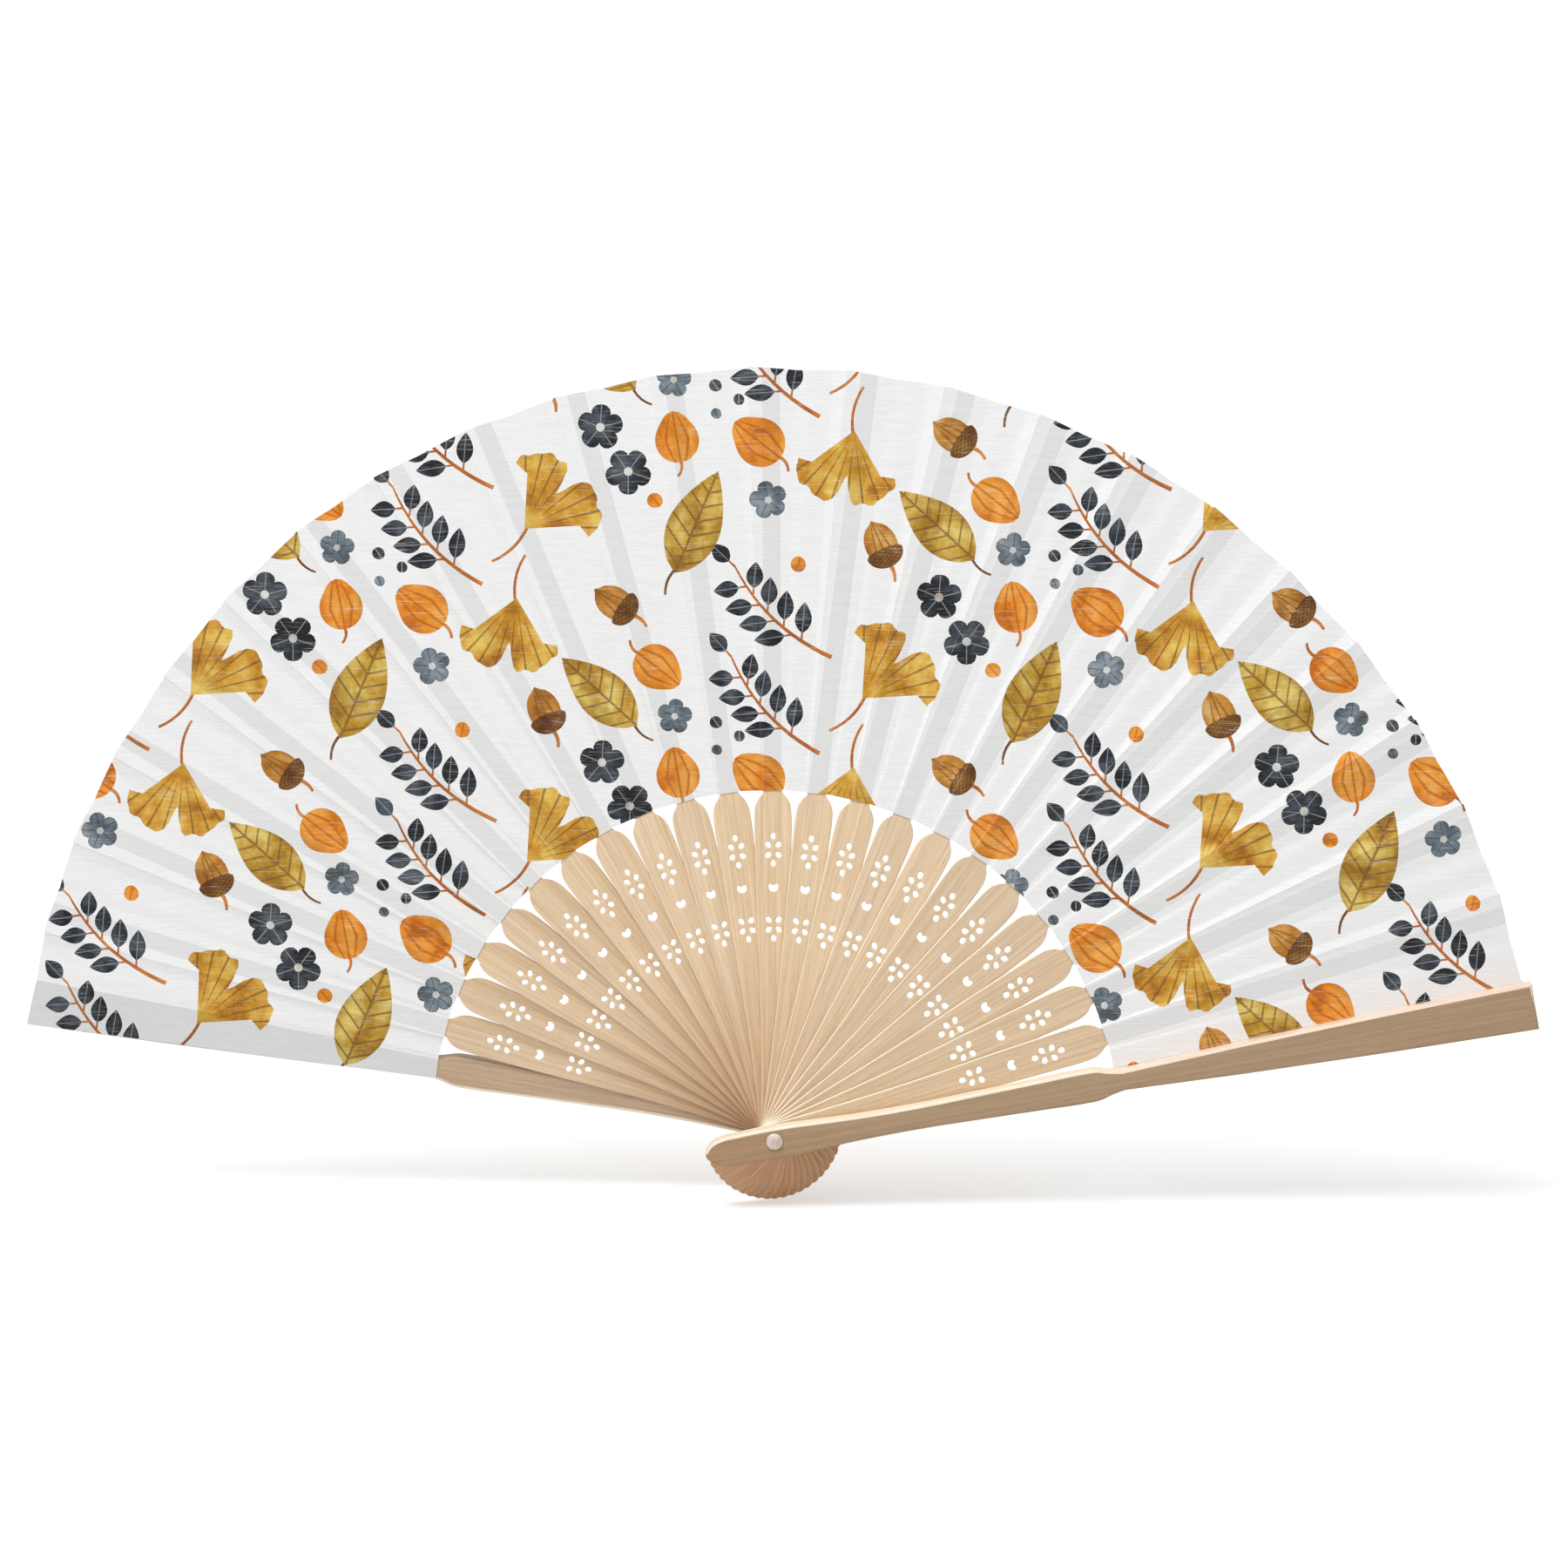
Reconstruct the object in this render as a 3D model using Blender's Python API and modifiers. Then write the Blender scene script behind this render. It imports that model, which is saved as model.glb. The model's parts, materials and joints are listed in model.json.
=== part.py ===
"""Bamboo folding fan with a pleated cloth leaf, modelled open.

Metres, +Z up. The rivet's axis is the Y axis and its middle is the origin. The fan's front faces -Y,
and the leaf opens upwards. Ribs are numbered from the front: 0 is the front guard, then the sticks,
and the last one is the rear guard. Seen from the front, rib angles grow anticlockwise from +X.
"""

import math

import bmesh
import bpy
from mathutils import Matrix, Vector

# How many ribs, and how far the fan opens
STICK_COUNT = 21
PITCH_ANGLE = math.radians(7.3)
FIRST_STICK_ANGLE = math.radians(17.25)
FRONT_GUARD_ANGLE = math.radians(10.4)

# Stack of ribs along the rivet
GUARD_THICKNESS = 0.0056
STICK_THICKNESS = 0.00066
RIB_CLEARANCE = 0.00022

# Lengths along a rib, from the rivet's axis
HEAD_LENGTH = 0.0192
LEAF_INNER_RADIUS = 0.0950
LEAF_OUTER_RADIUS = 0.2095
SLIP_SHORT_OF_LEAF = 0.0015
FRONT_GUARD_TIP_RADIUS = 0.2108
REAR_GUARD_TIP_RADIUS = 0.2080

# Inner sticks: a pierced blade below the leaf and a thin slip behind the cloth
BLADE_WIDTH = 0.0102
SLIP_WIDTH = 0.00485
SLIP_SHOULDER = 0.0005

# Half outlines, from the head's end to the neck: place along the head (negative) or along the
# rib up to the leaf, and half width as a share of the widest half width
BLADE_OUTLINE_SHARES = (
    (-1.00, 0.00),
    (-0.93, 0.48),
    (-0.74, 0.73),
    (-0.40, 0.79),
    (0.06, 0.72),
    (0.24, 0.69),
    (0.44, 0.74),
    (0.66, 0.89),
    (0.84, 0.985),
    (0.925, 1.00),
    (0.955, 0.94),
    (0.976, 0.77),
    (0.993, 0.53),
)
GUARD_OUTLINE_SHARES = (
    (-1.00, 0.00),
    (-0.94, 0.47),
    (-0.80, 0.79),
    (-0.45, 0.93),
    (0.02, 0.97),
    (0.12, 0.88),
    (0.24, 0.77),
    (0.42, 0.735),
    (0.60, 0.82),
    (0.78, 0.93),
    (0.90, 1.00),
    (0.945, 0.965),
    (0.985, 0.745),
)

# Pierced flower of petals and the bitten round hole on each blade
PETAL_LENGTH = 0.00178
PETAL_WIDTH = 0.00135
PETAL_TAPER_SHARE = 0.12
UPPER_FLOWER_RADIUS = 0.0785
UPPER_FLOWER_REACH = 0.0014
LOWER_FLOWER_RADIUS = 0.0577
LOWER_FLOWER_REACH = 0.00136
PETAL_TIP_REACH = 0.00375
MOON_RADIUS = 0.0682
MOON_WIDTH = 0.0026
MOON_BITE_SHARE = 0.25
PETAL_SIDES = 6
MOON_ARC_POINTS = 8

# Guards: the leaf section widens from neck to tip. A share is a place between the leaf's inner
# radius and the guard's tip.
GUARD_WIDTH = 0.0090
GUARD_NECK_SHARE = 0.017
GUARD_NECK_WIDTH = 0.0055
GUARD_LOWER_LEAF_SHARE = 0.302
GUARD_LOWER_LEAF_WIDTH = 0.0084
GUARD_UPPER_LEAF_SHARE = 0.648
GUARD_UPPER_LEAF_WIDTH = 0.0110
GUARD_TIP_WIDTH = 0.0129
GUARD_EDGE_ROUND = 0.0009
FRONT_GUARD_DROP = 0.0006

# Rivet
RIVET_SHANK_DIAMETER = 0.0030
RIVET_HEAD_DIAMETER = 0.0047
RIVET_HEAD_HEIGHT = 0.0013
RIVET_RUNNING_CLEARANCE = 0.0001
RIVET_SEAT_GAP = 0.0001
RIVET_SEAT_DIAMETER = 0.0051
RIVET_SEAT_DEPTH = 0.00015
RIVET_STEPS = 24
RIVET_DOME_POINTS = 5

# Cloth: each pleat has a mountain fold beside its rib and a valley fold half a pitch further on
CLOTH_THICKNESS = 0.00013
CLOTH_CLEARANCE = 0.000105
MOUNTAIN_ANGLE = math.radians(1.70)
VALLEY_ANGLE = MOUNTAIN_ANGLE - PITCH_ANGLE / 2
VALLEY_STEP_ANGLE = math.radians(0.20)
END_STRIP_ANGLE = math.radians(-1.45)

# Curve points per control point of an outline, and the overrun of a cutter past what it cuts
STICK_OUTLINE_STEPS = 2
GUARD_OUTLINE_STEPS = 3
CUTTER_OVERRUN = 0.0030
WELD_DISTANCE = 0.000001

REAR_GUARD = STICK_COUNT + 1
LAYER_PITCH = STICK_THICKNESS + RIB_CLEARANCE
STACK_DEPTH = 2 * GUARD_THICKNESS + STICK_COUNT * STICK_THICKNESS + REAR_GUARD * RIB_CLEARANCE
SLIP_THICKNESS = LAYER_PITCH - 2 * CLOTH_THICKNESS - 3 * CLOTH_CLEARANCE
SLIP_TIP_RADIUS = LEAF_OUTER_RADIUS - SLIP_SHORT_OF_LEAF
RIVET_HOLE_DIAMETER = RIVET_SHANK_DIAMETER + 2 * RIVET_RUNNING_CLEARANCE
CLOTH_OFFSET = (SLIP_THICKNESS + CLOTH_THICKNESS) / 2 + CLOTH_CLEARANCE

BAMBOO = (0.66, 0.50, 0.33, 1.0)
GUARD_BAMBOO = (0.60, 0.46, 0.31, 1.0)
CLOTH_WHITE = (0.90, 0.90, 0.90, 1.0)
RIVET_PEARL = (0.86, 0.80, 0.77, 1.0)


def clear_scene():
    for thing in list(bpy.data.objects):
        bpy.data.objects.remove(thing, do_unlink=True)


def new_collection(name):
    made = bpy.data.collections.new(name)
    bpy.context.scene.collection.children.link(made)
    return made


def make_material(name, colour, roughness):
    material = bpy.data.materials.new(name)
    material.use_nodes = True
    shader = material.node_tree.nodes["Principled BSDF"]
    shader.inputs["Base Color"].default_value = colour
    shader.inputs["Roughness"].default_value = roughness
    shader.inputs["Metallic"].default_value = 0.0
    return material


def add_object(name, mesh, group, material=None):
    made = bpy.data.objects.new(name, mesh)
    group.objects.link(made)
    if material and not mesh.materials:
        mesh.materials.append(material)
    return made


def evaluated_mesh(thing, name):
    """The object's mesh with its modifiers applied, welded."""
    bpy.context.view_layer.update()
    graph = bpy.context.evaluated_depsgraph_get()
    mesh = bpy.data.meshes.new_from_object(thing.evaluated_get(graph))
    mesh.name = name
    work = bmesh.new()
    work.from_mesh(mesh)
    bmesh.ops.remove_doubles(work, verts=work.verts, dist=WELD_DISTANCE)
    work.to_mesh(mesh)
    work.free()
    return mesh


def rib_angle(rib):
    return FIRST_STICK_ANGLE + (rib - 1) * PITCH_ANGLE if rib else FRONT_GUARD_ANGLE


def rib_depth(rib):
    """The depth of a rib's middle, along +Y. A guard's is the middle of its own thickness."""
    first_stick = GUARD_THICKNESS + RIB_CLEARANCE + STICK_THICKNESS / 2 - STACK_DEPTH / 2
    if rib == 0:
        return (GUARD_THICKNESS - STACK_DEPTH) / 2
    if rib == REAR_GUARD:
        return (STACK_DEPTH - GUARD_THICKNESS) / 2
    return first_stick + (rib - 1) * LAYER_PITCH


def layer_depth(rib):
    """The middle of the layer that a rib's cloth is folded in. The guards' layers follow the sticks'."""
    return rib_depth(1) + (rib - 1) * LAYER_PITCH


def place_on_rivet(thing, rib):
    """Stands a flat piece, drawn along +X in the XY plane, upright at its rib's angle and depth."""
    thing.location = (0.0, rib_depth(rib), 0.0)
    thing.rotation_euler = (math.pi / 2, -rib_angle(rib), 0.0)


def oval(centre, length, width, taper, turn, sides):
    """A closed loop of points, its long way turned from +X and its near end narrowed by taper."""
    loop = []
    for step in range(sides):
        around = 2 * math.pi * step / sides
        fullness = 1 + taper * math.cos(around)
        point = Vector((math.cos(around) * length / 2, math.sin(around) * fullness * width / 2))
        point.rotate(Matrix.Rotation(turn, 2))
        loop.append(Vector(centre) + point)
    return loop


def petal(flower, along, across):
    """A petal whose middle lies along and across from its flower's middle, and which points outwards."""
    turn = math.atan2(across, along)
    return oval((flower + along, across), PETAL_LENGTH, PETAL_WIDTH, PETAL_TAPER_SHARE, turn, PETAL_SIDES)


def pierced_holes():
    """Loops for the two flowers of petals, the bitten round hole between them and the rivet hole."""
    upper = (UPPER_FLOWER_RADIUS, UPPER_FLOWER_REACH, (-1, 1))
    lower = (LOWER_FLOWER_RADIUS, LOWER_FLOWER_REACH, (-1,))
    loops = []
    for flower, reach, ends in (upper, lower):
        for end in ends:
            loops.append(petal(flower, end * PETAL_TIP_REACH, 0.0))
        for along in (-reach, reach):
            for across in (-reach, reach):
                loops.append(petal(flower, along, across))
    moon = []
    for step in range(MOON_ARC_POINTS):
        around = math.pi / 4 + 1.5 * math.pi * step / (MOON_ARC_POINTS - 1)
        reach = Vector((math.cos(around), math.sin(around))) * MOON_WIDTH / 2
        moon.append(Vector((MOON_RADIUS, 0.0)) + reach)
    moon.append(Vector((MOON_RADIUS + MOON_BITE_SHARE * MOON_WIDTH / 2, 0.0)))
    loops.append(moon)
    loops.append(oval((0.0, 0.0), RIVET_HOLE_DIAMETER, RIVET_HOLE_DIAMETER, 0.0, 0.0, RIVET_STEPS // 2))
    return loops


def half_outline(shares, widest):
    """Turns shares into points of the left half: behind the rivet on the head, before it on the blade."""
    points = []
    for along, width in shares:
        length = HEAD_LENGTH if along < 0 else LEAF_INNER_RADIUS
        points.append(Vector((along * length, width * widest / 2)))
    return points


def add_smooth_loop(curve, half, straight_end, steps):
    """A closed Bezier loop through a half outline and its mirror image, with a straight far end."""
    right = [Vector((point.x, -point.y)) for point in reversed(half[1:])]
    far_right = [Vector((point.x, -point.y)) for point in reversed(straight_end)]
    points = half + straight_end + far_right + right
    spline = curve.splines.new("BEZIER")
    spline.bezier_points.add(len(points) - 1)
    spline.use_cyclic_u = True
    spline.resolution_u = steps
    straight = range(len(half), len(half) + 2 * len(straight_end))
    for index, (knot, point) in enumerate(zip(spline.bezier_points, points)):
        knot.co = (point.x, point.y, 0.0)
        kind = "VECTOR" if index in straight else "AUTO"
        knot.handle_left_type = kind
        knot.handle_right_type = kind


def add_polygon_loop(curve, loop):
    spline = curve.splines.new("POLY")
    spline.points.add(len(loop) - 1)
    spline.use_cyclic_u = True
    for knot, point in zip(spline.points, loop):
        knot.co = (point.x, point.y, 0.0, 1.0)


def flat_blank(name, half, straight_end, holes, thickness, steps, group):
    """A flat piece of one thickness, drawn as a 2D curve and turned into a mesh."""
    curve = bpy.data.curves.new(name + "_outline", "CURVE")
    curve.dimensions = "2D"
    curve.fill_mode = "BOTH"
    curve.extrude = thickness / 2
    add_smooth_loop(curve, half, straight_end, steps)
    for loop in holes:
        add_polygon_loop(curve, loop)
    drawn = add_object(name + "_outline", curve, group)
    mesh = evaluated_mesh(drawn, name)
    blank = add_object(name, mesh, group)
    blank.matrix_world = drawn.matrix_world
    bpy.data.objects.remove(drawn, do_unlink=True)
    bpy.data.curves.remove(curve)
    return blank


def add_box_cutter(name, low, high, group):
    bpy.ops.mesh.primitive_cube_add(size=1.0)
    cutter = bpy.context.object
    cutter.name = name
    low, high = Vector(low), Vector(high)
    cutter.data.transform(Matrix.Translation((low + high) / 2) @ Matrix.Diagonal((*(high - low), 1.0)))
    return as_cutter(cutter, group)


def add_hole_cutter(name, diameter, low, high, group):
    bpy.ops.mesh.primitive_cylinder_add(vertices=RIVET_STEPS, radius=diameter / 2, depth=high - low)
    cutter = bpy.context.object
    cutter.name = name
    cutter.data.transform(Matrix.Translation((0.0, 0.0, (low + high) / 2)))
    return as_cutter(cutter, group)


def as_cutter(cutter, group):
    for home in list(cutter.users_collection):
        home.objects.unlink(cutter)
    group.objects.link(cutter)
    cutter.hide_render = True
    cutter.display_type = "WIRE"
    return cutter


def cut(thing, cutter):
    boolean = thing.modifiers.new(cutter.name, "BOOLEAN")
    boolean.operation = "DIFFERENCE"
    boolean.solver = "EXACT"
    boolean.object = cutter


def shade(mesh):
    mesh.shade_smooth()
    mesh.set_sharp_from_angle(angle=math.radians(35))


def make_stick_mesh(fan, cutters):
    """One pierced stick. Its slip is planed thin on both faces, so that folded cloth fits round it."""
    half = half_outline(BLADE_OUTLINE_SHARES, BLADE_WIDTH)
    slip = [
        Vector((LEAF_INNER_RADIUS + SLIP_SHOULDER, SLIP_WIDTH / 2)),
        Vector((SLIP_TIP_RADIUS, SLIP_WIDTH / 2)),
    ]
    holes = pierced_holes()
    blank = flat_blank("stick_blank", half, slip, holes, STICK_THICKNESS, STICK_OUTLINE_STEPS, fan)
    start = LEAF_INNER_RADIUS - SLIP_SHOULDER
    end = SLIP_TIP_RADIUS + CUTTER_OVERRUN
    side = BLADE_WIDTH / 2 + CUTTER_OVERRUN
    for name, facing in (("slip_front_relief", 1), ("slip_back_relief", -1)):
        near, far = facing * SLIP_THICKNESS / 2, facing * (STICK_THICKNESS / 2 + CUTTER_OVERRUN)
        low = (start, -side, min(near, far))
        high = (end, side, max(near, far))
        cut(blank, add_box_cutter(name, low, high, cutters))
    mesh = evaluated_mesh(blank, "stick")
    bpy.data.objects.remove(blank, do_unlink=True)
    shade(mesh)
    return mesh


def make_guard(name, rib, tip_radius, drop, relief, fan, cutters, material):
    """A thick outer rib with rounded edges. Its inner face is let in by relief behind the cloth, and its
    outer face has a shallow round seat for the rivet's head."""
    half = half_outline(GUARD_OUTLINE_SHARES, GUARD_WIDTH)
    leaf_section = []
    for share, width in (
        (GUARD_NECK_SHARE, GUARD_NECK_WIDTH),
        (GUARD_LOWER_LEAF_SHARE, GUARD_LOWER_LEAF_WIDTH),
        (GUARD_UPPER_LEAF_SHARE, GUARD_UPPER_LEAF_WIDTH),
        (1.0, GUARD_TIP_WIDTH),
    ):
        radius = LEAF_INNER_RADIUS + share * (tip_radius - LEAF_INNER_RADIUS)
        leaf_section.append(Vector((radius, width / 2)))
    guard = flat_blank(name, half, leaf_section, [], GUARD_THICKNESS, GUARD_OUTLINE_STEPS, fan)
    guard.data.transform(Matrix.Translation((0.0, -drop, 0.0)))
    guard.data.materials.append(material)
    bevel = guard.modifiers.new("rounded_edges", "BEVEL")
    bevel.width = GUARD_EDGE_ROUND
    bevel.segments = 2
    bevel.limit_method = "ANGLE"
    bevel.angle_limit = math.radians(50)
    inward = -1 if rib == 0 else 1
    near = inward * (GUARD_THICKNESS / 2 - relief)
    far = inward * (GUARD_THICKNESS / 2 + CUTTER_OVERRUN)
    side = GUARD_TIP_WIDTH / 2 + CUTTER_OVERRUN
    low = (LEAF_INNER_RADIUS - SLIP_SHOULDER, -side, min(near, far))
    high = (tip_radius + CUTTER_OVERRUN, side, max(near, far))
    relief_cutter = add_box_cutter(name + "_leaf_relief", low, high, cutters)
    past = GUARD_THICKNESS / 2 + CUTTER_OVERRUN
    hole_cutter = add_hole_cutter(name + "_rivet_hole", RIVET_HOLE_DIAMETER, -past, past, cutters)
    ends = sorted((-inward * (GUARD_THICKNESS / 2 - RIVET_SEAT_DEPTH), -inward * past))
    seat_cutter = add_hole_cutter(name + "_rivet_seat", RIVET_SEAT_DIAMETER, *ends, cutters)
    for cutter in (relief_cutter, hole_cutter, seat_cutter):
        place_on_rivet(cutter, rib)
        cut(guard, cutter)
    place_on_rivet(guard, rib)
    shade(guard.data)
    return guard


def make_rivet(fan, material):
    """The pivot pin with a low dome on each end, turned about the Y axis."""
    bore = RIVET_SHANK_DIAMETER / 2
    rim = RIVET_HEAD_DIAMETER / 2
    seat = STACK_DEPTH / 2 - RIVET_SEAT_DEPTH + RIVET_SEAT_GAP
    dome = []
    for step in range(RIVET_DOME_POINTS + 1):
        around = math.pi / 2 * (1 - step / RIVET_DOME_POINTS)
        dome.append((rim * math.cos(around), seat + RIVET_HEAD_HEIGHT * math.sin(around)))
    profile = dome + [(bore, seat), (bore, -seat)] + [(out, -up) for out, up in reversed(dome)]
    mesh = bpy.data.meshes.new("rivet")
    work = bmesh.new()
    corners = [work.verts.new((out, 0.0, up)) for out, up in profile]
    for here, following in zip(corners, corners[1:]):
        work.edges.new((here, following))
    work.to_mesh(mesh)
    work.free()
    rivet = add_object("rivet", mesh, fan, material)
    turned = rivet.modifiers.new("turned", "SCREW")
    turned.axis = "Z"
    turned.steps = RIVET_STEPS
    turned.render_steps = RIVET_STEPS
    turned.use_merge_vertices = True
    turned.merge_threshold = WELD_DISTANCE
    turned.use_smooth_shade = True
    rivet.rotation_euler = (math.pi / 2, 0.0, 0.0)
    return rivet


def cloth_strip(name, section, fan, material):
    """Cloth folded along lines that run out from the rivet's axis. section lists (angle, depth)."""
    mesh = bpy.data.meshes.new(name)
    work = bmesh.new()
    last = len(section) - 1
    bmesh.ops.create_grid(work, x_segments=last, y_segments=1, size=0.5)
    for vertex in work.verts:
        angle, depth = section[round((vertex.co.x + 0.5) * last)]
        radius = LEAF_OUTER_RADIUS if vertex.co.y > 0 else LEAF_INNER_RADIUS
        vertex.co = (radius * math.cos(angle), depth, radius * math.sin(angle))
    work.to_mesh(mesh)
    work.free()
    strip = add_object(name, mesh, fan, material)
    solid = strip.modifiers.new("cloth_thickness", "SOLIDIFY")
    solid.thickness = CLOTH_THICKNESS
    solid.offset = 0.0
    solid.use_even_offset = True
    return strip


def make_pleat(rib, fan, material):
    """The free panel behind the rib before this one, and the panel that is glued on this rib."""
    before, here = rib_angle(rib - 1), rib_angle(rib)
    behind = layer_depth(rib - 1) + CLOTH_OFFSET
    glued = layer_depth(rib) - CLOTH_OFFSET
    section = [
        (before + MOUNTAIN_ANGLE, behind),
        (here + VALLEY_ANGLE - VALLEY_STEP_ANGLE, behind),
        (here + VALLEY_ANGLE, glued),
        (here + MOUNTAIN_ANGLE, glued),
    ]
    if rib != REAR_GUARD:
        section.append((here + MOUNTAIN_ANGLE, layer_depth(rib) + SLIP_THICKNESS / 2))
    return cloth_strip(f"leaf_pleat_{rib:02d}", section, fan, material)


def make_end_strip(depth, fan, material):
    """The leaf's first panel, glued on the inner face of the front guard."""
    section = [
        (rib_angle(0) + END_STRIP_ANGLE, depth),
        (rib_angle(0) + MOUNTAIN_ANGLE, depth),
    ]
    return cloth_strip("leaf_end_strip", section, fan, material)


def main():
    clear_scene()
    fan = new_collection("folding_fan")
    cutters = new_collection("cutters")
    bamboo = make_material("bamboo", BAMBOO, 0.55)
    guard_bamboo = make_material("guard_bamboo", GUARD_BAMBOO, 0.5)
    cloth = make_material("leaf_cloth", CLOTH_WHITE, 0.8)
    pearl = make_material("rivet_plastic", RIVET_PEARL, 0.3)

    stick_mesh = make_stick_mesh(fan, cutters)
    for rib in range(1, REAR_GUARD):
        stick = add_object(f"stick_{rib:02d}", stick_mesh, fan, bamboo)
        place_on_rivet(stick, rib)

    end_strip_depth = layer_depth(0) + CLOTH_OFFSET - CLOTH_THICKNESS - CLOTH_CLEARANCE
    front_inner_face = end_strip_depth - CLOTH_THICKNESS / 2 - CLOTH_CLEARANCE
    front_relief = rib_depth(0) + GUARD_THICKNESS / 2 - front_inner_face
    rear_inner_face = layer_depth(REAR_GUARD) - SLIP_THICKNESS / 2
    rear_relief = rear_inner_face - (rib_depth(REAR_GUARD) - GUARD_THICKNESS / 2)
    tip, drop = FRONT_GUARD_TIP_RADIUS, FRONT_GUARD_DROP
    make_guard("front_guard", 0, tip, drop, front_relief, fan, cutters, guard_bamboo)
    tip = REAR_GUARD_TIP_RADIUS
    make_guard("rear_guard", REAR_GUARD, tip, 0.0, rear_relief, fan, cutters, guard_bamboo)
    make_rivet(fan, pearl)

    make_end_strip(end_strip_depth, fan, cloth)
    for rib in range(1, REAR_GUARD + 1):
        make_pleat(rib, fan, cloth)


main()
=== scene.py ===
"""Bamboo folding fan with a printed cloth leaf: the detailed pieces, their finishes and the stage.

Metres, +Z up, in the frame of the solids: the rivet's axis is Y and its middle is the origin, and
the fan's front faces -Y. Ribs are numbered from the front: 0 is the front guard, then the sticks,
and the last one is the rear guard. A rib is drawn along +X in the XY plane and stood upright.
"""

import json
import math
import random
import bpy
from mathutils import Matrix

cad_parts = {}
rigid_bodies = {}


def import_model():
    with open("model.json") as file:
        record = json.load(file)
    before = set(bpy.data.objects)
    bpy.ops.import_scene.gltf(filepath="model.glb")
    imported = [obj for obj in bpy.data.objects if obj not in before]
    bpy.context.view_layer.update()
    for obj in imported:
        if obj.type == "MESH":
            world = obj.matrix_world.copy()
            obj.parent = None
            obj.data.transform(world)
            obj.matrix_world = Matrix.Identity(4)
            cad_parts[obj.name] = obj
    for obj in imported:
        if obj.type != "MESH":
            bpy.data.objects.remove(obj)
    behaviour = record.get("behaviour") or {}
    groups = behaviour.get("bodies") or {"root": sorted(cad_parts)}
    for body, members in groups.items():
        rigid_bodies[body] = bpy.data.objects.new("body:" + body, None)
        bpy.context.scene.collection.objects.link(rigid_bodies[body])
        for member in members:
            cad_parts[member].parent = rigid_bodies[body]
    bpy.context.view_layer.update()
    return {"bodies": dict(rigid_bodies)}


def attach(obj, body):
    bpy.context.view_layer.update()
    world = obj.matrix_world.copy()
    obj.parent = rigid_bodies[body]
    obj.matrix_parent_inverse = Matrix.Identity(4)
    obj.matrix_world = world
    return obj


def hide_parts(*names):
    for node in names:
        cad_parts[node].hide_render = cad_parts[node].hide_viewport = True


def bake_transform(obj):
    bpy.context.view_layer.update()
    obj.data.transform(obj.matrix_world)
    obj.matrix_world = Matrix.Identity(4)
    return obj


bl_info = {
    "name": "Folding fan",
    "version": (1, 0, 0),
    "blender": (4, 5, 0),
    "location": "3D view > Sidebar > Fan",
    "description": "Makes the ribs, rivet, pleated leaf and stage of a bamboo folding fan",
    "category": "Object",
}

import bmesh
import bpy
from bpy.props import FloatProperty, FloatVectorProperty, IntProperty, PointerProperty
from mathutils import Matrix, Vector
from mathutils.geometry import delaunay_2d_cdt

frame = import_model()
STICK_COUNT = sum(1 for name in frame["bodies"] if name.startswith("stick_"))
REAR_GUARD = STICK_COUNT + 1
MM = 0.001

# Half outlines, from the head's end to the neck: place along the head (negative) or along the rib
# up to the leaf, and half width as a share of the widest half width
BLADE_OUTLINE_SHARES = (
    (-1.00, 0.00),
    (-0.982, 0.22),
    (-0.93, 0.465),
    (-0.74, 0.73),
    (-0.40, 0.79),
    (0.06, 0.72),
    (0.24, 0.69),
    (0.44, 0.74),
    (0.66, 0.89),
    (0.84, 0.985),
    (0.925, 1.00),
    (0.955, 0.94),
    (0.976, 0.77),
    (0.993, 0.53),
)
GUARD_OUTLINE_SHARES = (
    (-1.00, 0.00),
    (-0.94, 0.47),
    (-0.80, 0.79),
    (-0.45, 0.93),
    (0.02, 0.97),
    (0.12, 0.88),
    (0.24, 0.77),
    (0.42, 0.735),
    (0.60, 0.82),
    (0.78, 0.93),
    (0.90, 1.00),
    (0.945, 0.965),
    (0.985, 0.745),
)

# The guards' leaf section: place between the leaf's inner radius and the guard's tip, and width
GUARD_LEAF_WIDTHS = ((0.017, 5.5 * MM), (0.302, 8.4 * MM), (0.648, 11.0 * MM), (1.0, 12.9 * MM))

# Pierced flowers: place along the blade, side petals' reach, and which end petals there are
PIERCED_FLOWERS = ((78.5 * MM, 1.4 * MM, (-1, 1)), (57.7 * MM, 1.36 * MM, (-1,)))
PETAL_SIZE = (1.78 * MM, 1.35 * MM)
PETAL_TAPER_SHARE = 0.12
PETAL_TIP_REACH = 3.75 * MM
MOON_PLACE = 68.2 * MM
MOON_WIDTH = 2.6 * MM
MOON_BITE_SHARE = 0.25

# Cloth motifs: how much room each takes, as circles along its own axis, in millimetres
MOTIF_ROOM = {
    "ginkgo": ((10.0, 13.5), (-4.0, 3.0), (-10.0, 2.5)),
    "beech": ((-2.0, 2.5), (6.0, 6.0), (15.0, 7.5), (25.0, 6.0)),
    "sprig": ((3.0, 3.0), (11.0, 7.0), (20.0, 8.5), (29.0, 8.5), (38.0, 6.5)),
    "acorn": ((-3.0, 5.5), (4.0, 6.2)),
    "lantern": ((0.0, 8.2),),
    "blossom": ((0.0, 6.2),),
    "small_blossom": ((0.0, 4.9),),
    "dot": ((0.0, 2.6),),
}
MOTIF_ORDER = (
    ("ginkgo", 2), ("sprig", 2), ("beech", 2), ("lantern", 3), ("acorn", 2),
    ("blossom", 2), ("small_blossom", 2), ("dot", 5),
)


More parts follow.
